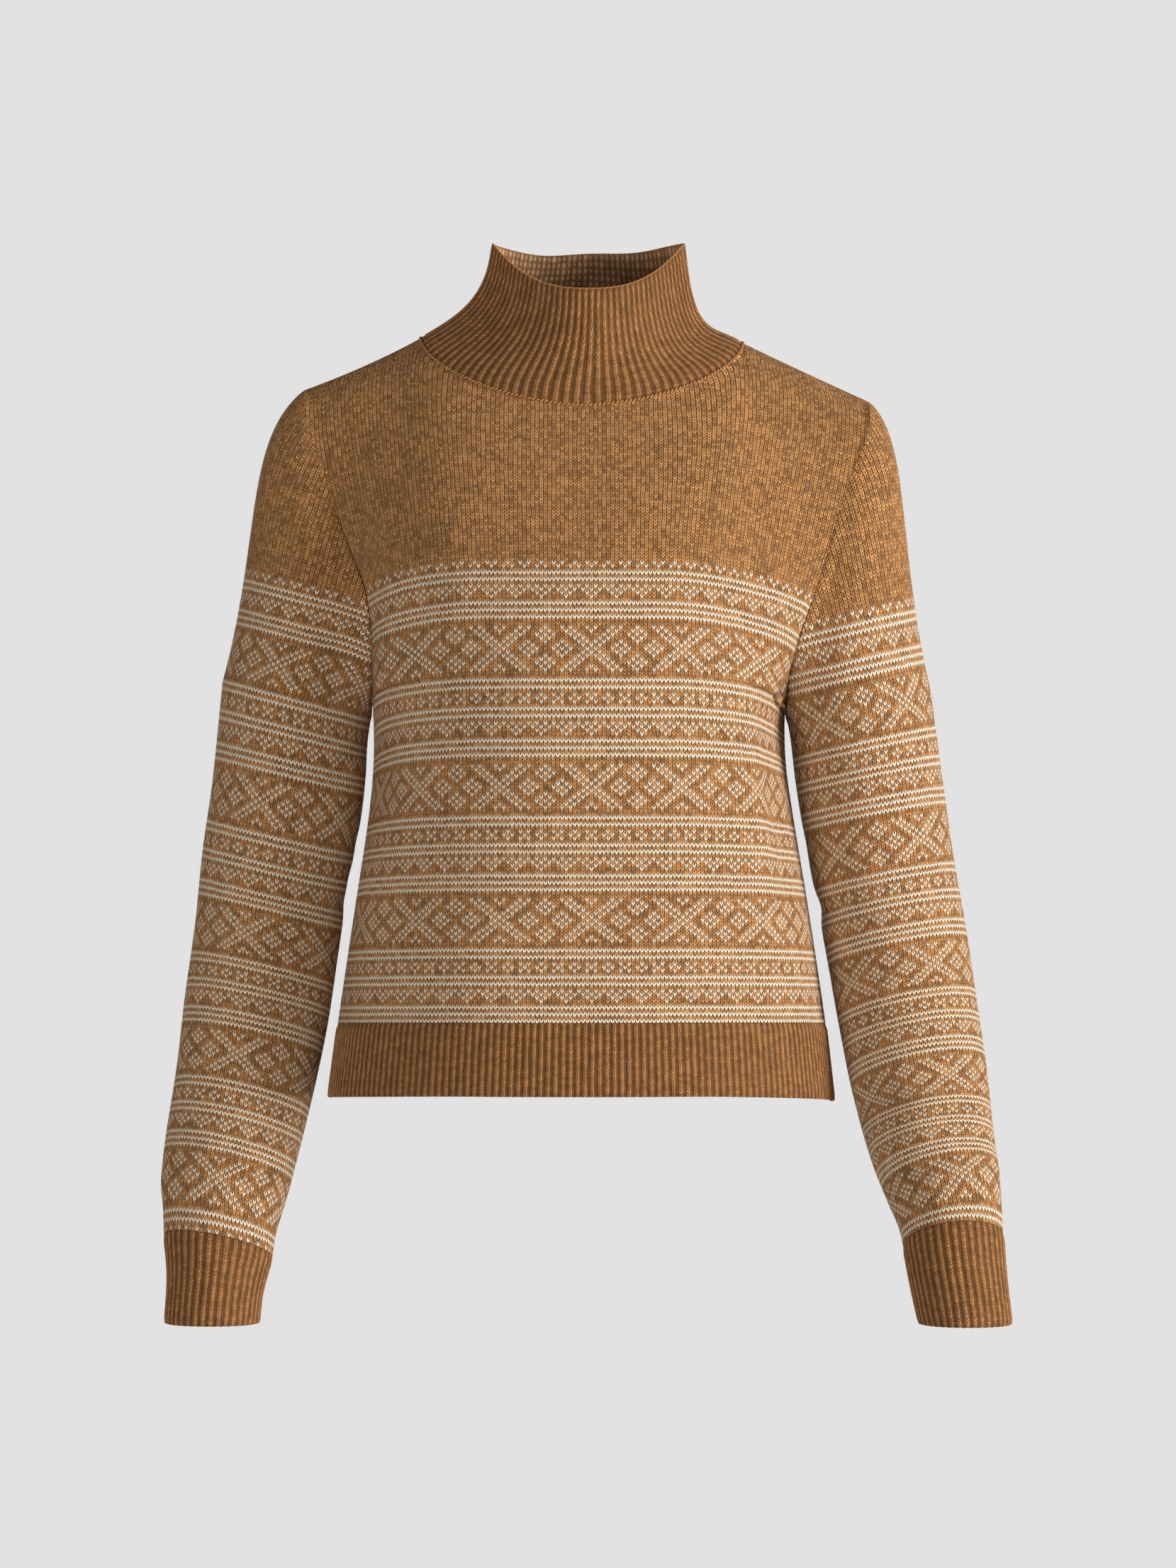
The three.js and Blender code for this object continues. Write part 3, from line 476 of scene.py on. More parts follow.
def make_shell(name, outer, inward, across, up, round_piece, finishes, sewn=False):
    """outer and inward: rows by columns; across and up have one column more on a round piece.
    A sewn piece keeps its outside smooth right up to its edges."""
    rows, columns = outer.shape[:2]
    inner = outer + inward * WALL
    edge, rim = (SEWN_EDGE, SEWN_RIM) if sewn else (FREE_EDGE, FREE_RIM)
    low_edge = unit(outer[0] - outer[1]) * edge + outer[0] * (1 - rim) + inner[0] * rim
    high_edge = unit(outer[-1] - outer[-2]) * edge + outer[-1] * (1 - rim) + inner[-1] * rim
    loop = np.concatenate([low_edge[None], outer, high_edge[None], inner[::-1], low_edge[None]])
    numbers = np.arange((len(loop) - 1) * columns).reshape(-1, columns)
    numbers = np.concatenate([numbers, numbers[:1]])
    if round_piece:
        numbers = np.concatenate([numbers, numbers[:, :1]], 1)
    quads, corners = grid_quads(numbers, stacked(across), stacked(up))
    inside = np.repeat(np.arange(len(loop) - 1) > rows + 1, numbers.shape[1] - 1)
    faces, uvs = quads.tolist(), corners.reshape(-1, 2).tolist()
    slots = inside.astype(int).tolist()
    if not round_piece:
        for column, turn in ((0, 1), (-1, -1)):
            ring = numbers[:-1, column][::turn]
            half = len(ring) // 2
            ends = np.stack([stacked(across)[:-1, column], stacked(up)[:-1, column]], 1)[::turn]
            for i in range(half):
                j = len(ring) - 1 - i
                # two corners are the same one at both rims, which leaves triangles there
                quad = list(dict.fromkeys([i, i + 1, j, (j + 1) % len(ring)]))
                faces.append([int(ring[k]) for k in quad][::-1])
                uvs += [ends[k].tolist() for k in quad][::-1]
                slots.append(0)
    vertices = loop[:-1].reshape(-1, 3) * 0.001
    mesh = bpy.data.meshes.new(name)
    mesh.from_pydata(vertices.tolist(), [], faces)
    layer = mesh.uv_layers.new(name="stitches")
    layer.data.foreach_set("uv", np.array(uvs, np.float32).ravel())
    for finish in finishes:
        mesh.materials.append(finish)
    mesh.polygons.foreach_set("material_index", slots)
    mesh.polygons.foreach_set("use_smooth", [True] * len(faces))
    mesh.update()
    if sewn:
        mark_rims(mesh, rows, columns, round_piece)
    volume = sum(face.center.dot(face.normal) * face.area for face in mesh.polygons)
    if volume < 0:
        mesh.flip_normals()
    piece = add_object(name, mesh)
    cloth = sum(p.area for p in mesh.polygons) / 2
    print(f"{name}: {len(vertices)} vertices, {sum(len(f) - 2 for f in faces)} triangles, "
          f"{cloth:.4f} m2 of cloth")
    return piece


# %% [markdown]
# ## Shader groups for knitting
# Three effects are shared by the yarns. The first finds the stitch and its V shape: the two legs
# of a stitch meet at the bottom and rise outwards, so the edge between two colours is a zigzag.
# The second is the chart of the pattern, worked out from the numbers of the column and the row.
# The third varies the yarn's colour, because a heathered yarn is spun from fibres of many shades,
# and paints shade into the grooves between stitches.


# %% Helpers that write nodes
def add_node(tree, kind, inputs=(), **settings):
    """A node with its settings; inputs pairs each socket with a value or with what feeds it."""
    node = tree.nodes.new(kind)
    for label, value in settings.items():
        setattr(node, label, value)
    for label, value in dict(inputs).items():
        if isinstance(value, bpy.types.NodeSocket):
            tree.links.new(value, node.inputs[label])
        else:
            node.inputs[label].default_value = value
    return node


def sums(tree):
    """A function that writes one Math node at a time and gives its result."""
    def write(operation, *values):
        return add_node(tree, "ShaderNodeMath", enumerate(values), operation=operation).outputs[0]
    return write


def add_noise(tree, scale, detail):
    """Noise that runs through the jumper as it stands and takes no notice of the stitches."""
    where = add_node(tree, "ShaderNodeTexCoord").outputs["Object"]
    return add_node(tree, "ShaderNodeTexNoise",
                    {"Vector": where, "Scale": scale, "Detail": detail}).outputs


def mix_colours(tree, share, low, high):
    return add_node(tree, "ShaderNodeMix", {"Factor": share, "A": low, "B": high},
                    data_type="RGBA").outputs["Result"]


def new_group(name, inputs, outputs):
    tree = bpy.data.node_groups.new(name, "ShaderNodeTree")
    for kind, label, value in inputs:
        socket = tree.interface.new_socket(label, in_out="INPUT", socket_type=kind)
        socket.default_value = value
    for kind, label in outputs:
        tree.interface.new_socket(label, in_out="OUTPUT", socket_type=kind)
    return tree, tree.nodes.new("NodeGroupInput").outputs, tree.nodes.new("NodeGroupOutput").inputs


NUMBER, COLOUR = "NodeSocketFloat", "NodeSocketColor"

# %% The stitch: its column, its row and its relief
V_SLANT = 1.9
WAVER = 0.4

stitch_group, given, put = new_group(
    "stitch_of_stocking_stitch",
    [(NUMBER, "Across", 0.0), (NUMBER, "Down", 0.0)],
    [(NUMBER, "Column"), (NUMBER, "Row"), (NUMBER, "Relief")],
)
do = sums(stitch_group)
stray = add_noise(stitch_group, scale=110.0, detail=1.0)["Color"]
stray = add_node(stitch_group, "ShaderNodeSeparateColor", {0: stray}).outputs
stray_across = do("MULTIPLY_ADD", stray[0], WAVER, -WAVER / 2)
stray_down = do("MULTIPLY_ADD", stray[1], WAVER, -WAVER / 2)
across = do("ADD", given["Across"], stray_across)
column = do("FLOOR", do("ADD", across, 0.5))
aside = do("ABSOLUTE", do("SUBTRACT", across, column))
down = do("ADD", do("MULTIPLY_ADD", aside, V_SLANT, -V_SLANT / 4), given["Down"])
down = do("ADD", down, stray_down)
row = do("FLOOR", down)
through = do("SUBTRACT", down, row)
leg_end = do("ABSOLUTE", do("MULTIPLY_ADD", aside, 4.0, -1.0))
leg_side = do("ABSOLUTE", do("MULTIPLY_ADD", through, 2.0, -1.0))
between_columns = do("GREATER_THAN", aside, 0.25)
groove_depth = do("MULTIPLY_ADD", between_columns, 0.6, 0.4)
round_end = do("SUBTRACT", 1.0, do("MULTIPLY", do("POWER", leg_end, 2.5), groove_depth))
round_side = do("SUBTRACT", 1.0, do("MULTIPLY", do("POWER", leg_side, 2.4), 0.75))
stitch_group.links.new(column, put["Column"])
stitch_group.links.new(row, put["Row"])
stitch_group.links.new(do("MULTIPLY", round_end, round_side), put["Relief"])
print("stitch group:", len(stitch_group.nodes), "nodes")

# %% [markdown]
# ### The chart
# The pattern repeats every 39 rows: a band of crosses and diamonds, a band of small flowers and a
# row of little peaks, with plain cream rows between them. Every band is mirrored about the same
# column, so the distance from that column, folded into the band's own repeat, decides a stitch.

# %% The chart of the pattern
chart_group, given, put = new_group(
    "fair_isle_chart",
    [(NUMBER, "Column", 0.0), (NUMBER, "Row", 0.0)],
    [(NUMBER, "Cream")],
)
do = sums(chart_group)


def folded(repeat):
    turns = do("ROUND", do("DIVIDE", given["Column"], float(repeat)))
    return do("ABSOLUTE", do("MULTIPLY_ADD", turns, -float(repeat), given["Column"]))


def same(a, b):
    return do("COMPARE", a, b, 0.1)


def at_most(a, b):
    return do("LESS_THAN", a, do("ADD", b, 0.5) if not isinstance(b, (int, float)) else b + 0.5)


def both(a, b):
    return do("MULTIPLY", a, b)


def either(*choices):
    result = choices[0]
    for choice in choices[1:]:
        result = do("MAXIMUM", result, choice)
    return result


def apart(a, b):
    return do("ABSOLUTE", do("SUBTRACT", a, float(b)))


# The pattern starts with the upper two rows of the flowers.
shift = do("SUBTRACT", 22.0, do("LESS_THAN", given["Row"], 1.5))
cycle = do("FLOORED_MODULO", do("ADD", given["Row"], shift), 39.0)
cycle = do("ROUND", cycle)

# Crosses and diamonds, 13 rows high, repeating every 22 stitches
cross_row = apart(cycle, 8)
cross_column = folded(22)
odd = do("ROUND", do("MODULO", do("ADD", cross_column, cross_row), 2.0))
arm = at_most(do("ABSOLUTE", do("SUBTRACT", cross_column, cross_row)), 1)
corner = at_most(do("ADD", apart(cross_column, 11), apart(cross_row, 4)), 2)
diamond = at_most(do("ADD", apart(cross_column, 7), cross_row), 2)
tip = at_most(do("ADD", cross_column, do("SUBTRACT", 6.0, cross_row)), 1)
crosses = both(both(at_most(cross_row, 6), odd), either(arm, corner, diamond, tip))

# Small flowers, 3 rows high, repeating every 8 stitches
flower_row = apart(cycle, 22)
flower_column = folded(8)
petals = either(same(flower_column, flower_row), same(flower_column, do("ADD", flower_row, 3.0)))
flowers = both(at_most(flower_row, 1), petals)

# Little peaks, 4 rows high, repeating every 6 stitches
peak_column = folded(6)
even = same(do("ROUND", do("MODULO", do("ADD", peak_column, cycle), 2.0)), 0.0)
in_peaks = both(at_most(cycle, 32), do("GREATER_THAN", cycle, 28.5))
peaks = both(in_peaks, both(even, at_most(peak_column, do("SUBTRACT", 32.0, cycle))))

# Plain cream rows
even_row = same(do("ROUND", do("MODULO", cycle, 2.0)), 0.0)
lines = either(same(apart(cycle, 18), 1.0), same(apart(cycle, 26), 1.0),
               both(do("GREATER_THAN", cycle, 33.5), even_row))

# Single cream stitches sink between the camel ones, so they look duller than whole rows.
motifs = both(either(crosses, flowers, peaks), 0.84)
begun = do("GREATER_THAN", given["Row"], -0.5)
chart_group.links.new(both(begun, either(motifs, lines)), put["Cream"])
print("chart group:", len(chart_group.nodes), "nodes")

# %% [markdown]
# ### Heathered yarn
# Each stitch gets its own shade, and finer noise along the legs stands for the fibres in the
# yarn. The grooves between stitches are darker, because light is lost in them.

# %% The yarn's colour
yarn_group, given, put = new_group(
    "heathered_yarn",
    [(COLOUR, "Yarn", (0.5, 0.3, 0.15, 1)), (COLOUR, "Groove", (0.1, 0.05, 0.02, 1)),
     (NUMBER, "Relief", 1.0), (NUMBER, "Column", 0.0), (NUMBER, "Row", 0.0),
     (NUMBER, "Heather", 0.2)],
    [(COLOUR, "Colour")],
)
do = sums(yarn_group)
place = add_node(yarn_group, "ShaderNodeCombineXYZ", {0: given["Column"], 1: given["Row"]})
of_stitch = add_node(yarn_group, "ShaderNodeTexWhiteNoise", {"Vector": place.outputs[0]},
                     noise_dimensions="3D").outputs["Value"]
of_fibres = add_noise(yarn_group, scale=900.0, detail=2.0)["Fac"]
of_clouds = add_noise(yarn_group, scale=55.0, detail=3.0)["Fac"]
shade = do("ADD", do("SUBTRACT", of_stitch, 0.5),
           do("MULTIPLY", do("SUBTRACT", of_fibres, 0.5), 1.6))
shade = do("ADD", shade, do("MULTIPLY", do("SUBTRACT", of_clouds, 0.5), 0.4))
bright = do("ADD", 1.0, do("MULTIPLY", shade, given["Heather"]))
# The yarn's colour darkens to the groove colour where the relief is low: painted shade in the
# grooves.
coloured = mix_colours(yarn_group, do("POWER", given["Relief"], 1.35), given["Groove"], given["Yarn"])
brighten = add_node(yarn_group, "ShaderNodeVectorMath", {0: coloured, "Scale": bright},
                    operation="SCALE")
yarn_group.links.new(brighten.outputs[0], put["Colour"])

# %% [markdown]
# ## The materials
# All of them are soft wool: rough, with a faint sheen from the nap that catches light at the
# edges. The stitches are too many to model one by one, so their relief goes into a Bump node.

# %% Colours of the yarns
# Each groove colour is painted shade: the dark colour of the gaps between stitches, where light is
# lost.
CAMEL = (0.555, 0.266, 0.094, 1)
CAMEL_GROOVE_SHADE = (0.035, 0.011, 0.003, 1)
RIB_CAMEL = (0.405, 0.185, 0.064, 1)
RIB_GROOVE_SHADE = (0.12, 0.05, 0.016, 1)
CREAM = (1.0, 0.88, 0.7, 1)
# The cream's groove colour is partly the camel seen between the cream stitches and partly painted
# shade.
CREAM_GROOVE_CAMEL_AND_SHADE = (0.27, 0.14, 0.062, 1)
# The inside's colour is lighter and greyer than the camel outside: partly the yarn's own reverse
# side, partly painted light that lifts the shaded inside of the collar.
INSIDE_WITH_PAINTED_LIGHT = (0.62, 0.37, 0.2, 1)
INSIDE_GROOVE_SHADE = (0.21, 0.105, 0.045, 1)


def new_wool(name, sheen):
    material = bpy.data.materials.new(name)
    material.use_nodes = True
    tree = material.node_tree
    skin = tree.nodes["Principled BSDF"]
    for label, value in {"Roughness": 0.92, "Specular IOR Level": 0.2, "Sheen Weight": sheen,
                         "Sheen Roughness": 0.45, "Sheen Tint": (0.9, 0.6, 0.34, 1)}.items():
        skin.inputs[label].default_value = value
    stitch_map = add_node(tree, "ShaderNodeUVMap", uv_map="stitches")
    parts = add_node(tree, "ShaderNodeSeparateXYZ", {0: stitch_map.outputs[0]})
    return material, tree, skin, parts.outputs


def place_group(tree, group, **values):
    return add_node(tree, "ShaderNodeGroup", values, node_tree=group).outputs


def add_relief(tree, skin, height, depth):
    bump = add_node(tree, "ShaderNodeBump",
                    {"Strength": 0.9, "Distance": depth, "Height": height})
    tree.links.new(bump.outputs[0], skin.inputs["Normal"])


# %% The outside of the body and the sleeves
fair_isle, tree, skin, at = new_wool("fair_isle_outside", sheen=0.15)
stitch = place_group(tree, stitch_group, Across=at["X"], Down=at["Y"])
chart = place_group(tree, chart_group, Column=stitch["Column"], Row=stitch["Row"])
# Both yarns darken to their groove colours between stitches, which is painted shade.
camel = place_group(tree, yarn_group, Yarn=CAMEL, Groove=CAMEL_GROOVE_SHADE, Relief=stitch["Relief"],
                    Column=stitch["Column"], Row=stitch["Row"], Heather=0.75)
cream = place_group(tree, yarn_group, Yarn=CREAM, Groove=CREAM_GROOVE_CAMEL_AND_SHADE, Relief=stitch["Relief"],
                    Column=stitch["Column"], Row=stitch["Row"], Heather=0.16)
colour = mix_colours(tree, chart["Cream"], camel["Colour"], cream["Colour"])
tree.links.new(colour, skin.inputs["Base Color"])
add_relief(tree, skin, stitch["Relief"], depth=0.0011)

# %% [markdown]
# ### Ribs and the inside
# A rib's knit column is a single column of stitches on the raised part, so the same stitch group
# serves, with the column's edges pulled in over the ridge. The inside of the fabric shows
# columns of small bumps instead of V shapes.

# %% The ribs and the inside
rib, tree, skin, at = new_wool("camel_rib_outside", sheen=0.15)
do = sums(tree)
across = do("SUBTRACT", at["X"], do("FLOOR", at["X"]))
over_ridge = do("MULTIPLY", do("SUBTRACT", across, 0.5), 1.7)
column = do("FLOOR", at["X"])
stitch = place_group(tree, stitch_group, Across=over_ridge, Down=at["Y"])
on_ridge = do("LESS_THAN", do("ABSOLUTE", over_ridge), 0.5)
# Off the ridge the relief is 0, so the purl between the ribs takes the full groove colour: painted
# shade over the real grooves.
relief = do("MULTIPLY", stitch["Relief"], on_ridge)
camel = place_group(tree, yarn_group, Yarn=RIB_CAMEL, Groove=RIB_GROOVE_SHADE, Relief=relief,
                    Column=column, Row=stitch["Row"], Heather=0.45)
tree.links.new(camel["Colour"], skin.inputs["Base Color"])
add_relief(tree, skin, relief, depth=0.0008)

inside, tree, skin, at = new_wool("camel_inside", sheen=0.1)
do = sums(tree)
beside = do("ABSOLUTE", do("SINE", do("MULTIPLY", at["X"], math.pi)))
along = do("ABSOLUTE", do("SINE", do("MULTIPLY", at["Y"], math.pi)))
bead = do("MULTIPLY", do("POWER", beside, 2.5), do("MULTIPLY_ADD", along, 0.7, 0.3))
# The inside's colour carries painted light, and the gaps between its bumps take the groove colour
# as painted shade.
camel = place_group(tree, yarn_group, Yarn=INSIDE_WITH_PAINTED_LIGHT, Groove=INSIDE_GROOVE_SHADE, Relief=bead,
                    Column=do("FLOOR", at["X"]), Row=do("FLOOR", at["Y"]), Heather=0.5)
tree.links.new(camel["Colour"], skin.inputs["Base Color"])
add_relief(tree, skin, bead, depth=0.0008)
print("materials:", fair_isle.name, rib.name, inside.name)

# %% [markdown]
# ## The front and the back
# Both are one grid each, from the top of the hem's rib to the shoulders. On the front the pattern
# is centred just right of the middle. Below the chest the rows follow the levels of the body. Above
# it they sag towards the armholes as far as the pattern goes, and in the plain yoke they are
# counted up each column.

# %% Knit the panels
PANEL_COLUMNS = 160
TORSO_STEPS, YOKE_STEPS = 62, 64
PATTERN_X = {FRONT: 6.4, BACK: -4.0}
RELAX_APART = 5, 7
FOLD_FADE = 12
SEAM_DIP, SEAM_DIP_WIDE = 0.2, 1.6
SEAM_ROWS = 5
SIDE_SHARE = 0.96
# above this height the way outwards starts to point up as well
TURN_UP_Z = -90
# between these heights the pattern's even rows give way to counted ones
EVEN_TO, COUNTED_FROM = -145, -115
ROW_AT_Z = np.array([[-461, 140], [-447.9, 134], [-381.7, 103.5], [-295.6, 64.5], [-206, 25.5],
                     [-151.5, 0]])


def edge_dip(points, deep=SEAM_DIP):
    """How far the fabric turns in beside its seams at the two ends of each row."""
    from_left = run_length(points, 1)
    nearest = np.minimum(from_left, from_left[:, -1:] - from_left)
    return deep * np.exp(-(nearest / SEAM_DIP_WIDE)**2)


def near_seam(points):
    """1 on the first row of a grid, and fading to 0 a few rows on."""
    return 1 - smooth(np.arange(len(points)), 0, SEAM_ROWS)[:, None, None]


def level_rows(points, places, counted):
    """Rows of the yoke that sag evenly towards the armholes in the pattern, and are counted up
    each column above it."""
    middle = points.shape[1] // 2
    level = points[..., 2] + sag_at(places, *TORSO[-1, 5:])
    by_level = np.interp(level, points[:, middle, 2], counted[:, middle])
    plain = smooth((level[1:] + level[:-1]) / 2, EVEN_TO, COUNTED_FROM)
    step = np.diff(by_level, axis=0) * (1 - plain) + np.diff(counted, axis=0) * plain
    return counted[0] + add_up(step)


def panel(name, face):
    places = np.linspace(-1, 1, PANEL_COLUMNS + 1)
    torso = [torso_ring(face, z, places)
             for z in np.linspace(RIB_TOP_Z, CHEST_Z, TORSO_STEPS, endpoint=False)]
    yoke = [yoke_ring(face, i / YOKE_STEPS, places) for i in range(YOKE_STEPS + 1)]
    base = np.array(torso + yoke)
    outward = np.concatenate([base[..., :2], np.maximum(base[..., 2:] - TURN_UP_Z, 0)], -1)
    base = relax(base, outward, RELAX_APART)
    normal = normals_of(base, outward)
    fade = (1 - np.abs(places)**FOLD_FADE)[None, :]
    shaped = base + normal * (raise_folds(face, base) * fade - edge_dip(base))[..., None]

    normal = normals_of(shaped, outward)
    inward = -normal
    at_edge = smooth(np.abs(places), SIDE_SHARE, 1)[None, :, None]
    ways = inward.copy()
    for r in range(len(base)):
        for side, c in ((LEFT, 0), (RIGHT, -1)):
            way = (armhole_inward(side, base[r, c]) if r >= TORSO_STEPS
                   else np.array([-side, 0.0, 0.0]))
            half = slice(0, PANEL_COLUMNS // 2) if side == LEFT else slice(PANEL_COLUMNS // 2, None)
            ways[r, half] = way
    inward = blend_ways(inward, ways, at_edge)
    turn = np.clip(places / NECK_SHARE, -1, 1) * math.pi / 2
    on_neck = (np.abs(places) <= NECK_SHARE)[:, None]
    top_way = np.where(on_neck, neck_inward(face, turn), [0.0, 0.0, -1.0])
    rows_below_top = np.arange(len(base)) - len(base)
    near_top = smooth(rows_below_top, -SEAM_ROWS, -1)[:, None, None]
    inward = blend_ways(inward, top_way[None], near_top)

    central = np.arange(PANEL_COLUMNS // 4, 3 * PANEL_COLUMNS // 4 + 1)
    zero = [np.interp(PATTERN_X[face], row[central, 0], central) for row in base]
    across = stitches_across(base, zero)
    rows = np.interp(base[:TORSO_STEPS + 1, PANEL_COLUMNS // 2, 2], ROW_AT_Z[:, 0], ROW_AT_Z[:, 1])
    low = np.repeat(rows[:-1, None], len(places), 1)
    high = rows_up(base[TORSO_STEPS:], across[TORSO_STEPS:], rows[-1], ROW_TALL)
    high = level_rows(base[TORSO_STEPS:], places, high)
    down = np.concatenate([low, high])
    middle = int(zero[-1])
    print(name, "first pattern row at z", np.interp(0, down[::-1, middle], base[::-1, middle, 2]))
    return make_shell(name, shaped, inward, across, down, False, [fair_isle, inside], sewn=True)


front = panel("jumper_front", FRONT)
back = panel("jumper_back", BACK)

# %% [markdown]
# ## The sleeves
# A sleeve is a tube of sections. Its cap runs from the armhole seam down to the first full
# section below the armpit. Along the cap the columns of stitches keep straight along the arm, so
# we count them by the angle round the arm's own axis.

# %% Sections of a sleeve
ARM_COLUMNS = 112
ARM_POINTS = 721
SLEEVE_FOLD_FADE = 12
CAP_STEPS, TUBE_STEPS = 44, 118
# where the pattern's middle column runs, as height in the picture and distance out from the
# sleeve's middle, and which row of the pattern is at that height
SLEEVE_PATTERN = {
    LEFT: np.array([[-598, 196, 4], [-561.7, 181.5, 5], [-479.4, 142.5, 7], [-394.8, 103.5, 14],
                    [-305.5, 64.5, 16], [-213, 25.5, 17], [-161.5, 0, 17]]),
    RIGHT: np.array([[-594, 196, 11], [-561, 181.5, 12.8], [-496, 142.5, 19.6],
                     [-419, 103.5, 21], [-331, 64.5, 27], [-239.7, 25.5, 30], [-175.5, 0, 31]]),
}
CAP_ROW_TALL = {LEFT: 2.2, RIGHT: 2.6}
# the right seam is drawn up tighter, so it hardly shows
SLEEVE_GAP = {LEFT: SEAM_GAP, RIGHT: 0.3 * SEAM_GAP}


def arm_ring(table, side, at, turns):
    out_x, out_z, in_x, in_z, y, deep, lift = read_rows(table, at)
    outer, inner = np.array([side * out_x, 0, out_z]), np.array([side * in_x, 0, in_z])
    centre = (outer + inner) / 2
    centre[1] = y
    wide = (outer - inner) / 2
    up = unit(np.array([-side * wide[2], 0, side * wide[0]]))
    lift = math.radians(lift)
    forward = up * math.sin(lift) + np.array([0, -math.cos(lift), 0])
    points = (centre + wide * np.cos(turns)[:, None]
              + forward * deep * np.sin(turns)[:, None])
    return points, centre, up, wide


def cap_grid(side, ring, up, turns):
    out, _ = armhole_frame(side)
    grid = np.zeros((CAP_STEPS, len(turns), 3))
    ways = np.zeros((len(turns), 3))
    for i, turn in enumerate(turns):
        face = FRONT if math.sin(turn) >= 0 else BACK
        from_top = abs(turn)
        seam = armhole_point(side, face, from_top)
        if abs(math.sin(turn)) < SAME_TURN:
            seam[1] = 0
        ways[i] = armhole_inward(side, seam)
        start = seam + out * SLEEVE_GAP[side]
        low = (1 - math.cos(from_top)) / 2
        leave = unit(-up * mix(*CAP_DOWN, low) + out * mix(*CAP_OUT, low)
                     - ways[i] * CAP_FULL * math.sin(from_top))
        span = np.linalg.norm(start - ring[i])
        share = min(1, span / CAP_SPAN)
        t = (np.arange(CAP_STEPS) / CAP_STEPS)[:, None]
        leave, arrive = leave * CAP_START[side] * share, up * CAP_END[side] * share
        grid[:, i] = bend(start, start + leave, ring[i] + arrive, ring[i], t)
    return grid, ways


# %% Folds of the sleeves
# side, degrees round from the outer side (90 is in front), height, half width in degrees, half
# height, how many degrees it leans for each millimetre up, height of the fold
SLEEVE_FOLDS = [
    (LEFT, 108, -195, 15, 48, -0.3, -6.0), (RIGHT, 98, -165, 16, 45, -0.3, -4.5),
    (LEFT, 128, -128, 15, 36, 0.25, -3.0), (LEFT, 96, -120, 17, 42, 0.2, 1.8),
    (LEFT, 160, -262, 26, 16, -0.5, -2.2), (LEFT, 150, -335, 34, 9, 0.9, -1.6),
    (LEFT, 168, -372, 36, 8, -0.8, -1.5), (LEFT, 60, -430, 34, 34, 0.4, 1.3),
    (LEFT, 120, -520, 34, 11, 1.2, -1.4), (LEFT, 30, -560, 40, 10, -0.8, 1.4),
    (LEFT, -120, -150, 18, 40, -0.2, -2.5), (LEFT, -150, -360, 34, 10, -1.0, -2.0),
    (LEFT, -80, -300, 24, 40, 0.3, 1.6), (LEFT, -100, -500, 36, 12, 1.0, -1.6),
    (RIGHT, 130, -140, 15, 38, -0.2, -2.6), (RIGHT, 98, -118, 17, 44, -0.2, 1.8),
    (RIGHT, 158, -270, 24, 20, 0.5, -2.6), (RIGHT, 146, -330, 30, 10, -1.0, -1.8),
    (RIGHT, 164, -378, 34, 9, 0.9, -1.8), (RIGHT, 70, -440, 34, 34, -0.4, 1.4),
    (RIGHT, 130, -500, 32, 12, -1.2, -1.8), (RIGHT, 50, -548, 38, 10, 0.8, 1.4),
    (RIGHT, -122, -160, 18, 40, 0.2, -2.5), (RIGHT, -150, -372, 34, 10, 1.0, -2.2),
    (RIGHT, -84, -310, 24, 40, -0.3, 1.6), (RIGHT, -104, -480, 36, 12, -1.0, -1.8),
]


def sleeve_folds(side, points, turns):
    degrees = np.degrees(turns)[None, :]
    height = np.zeros(points.shape[:2])
    for fold_side, angle, z, wide, tall, lean, high in SLEEVE_FOLDS:
        if fold_side == side:
            along = points[..., 2] - z
            away = (degrees - angle - lean * along + 180) % 360 - 180
            height += high * np.exp(-(along / tall)**2 - (away / wide)**2)
    return height


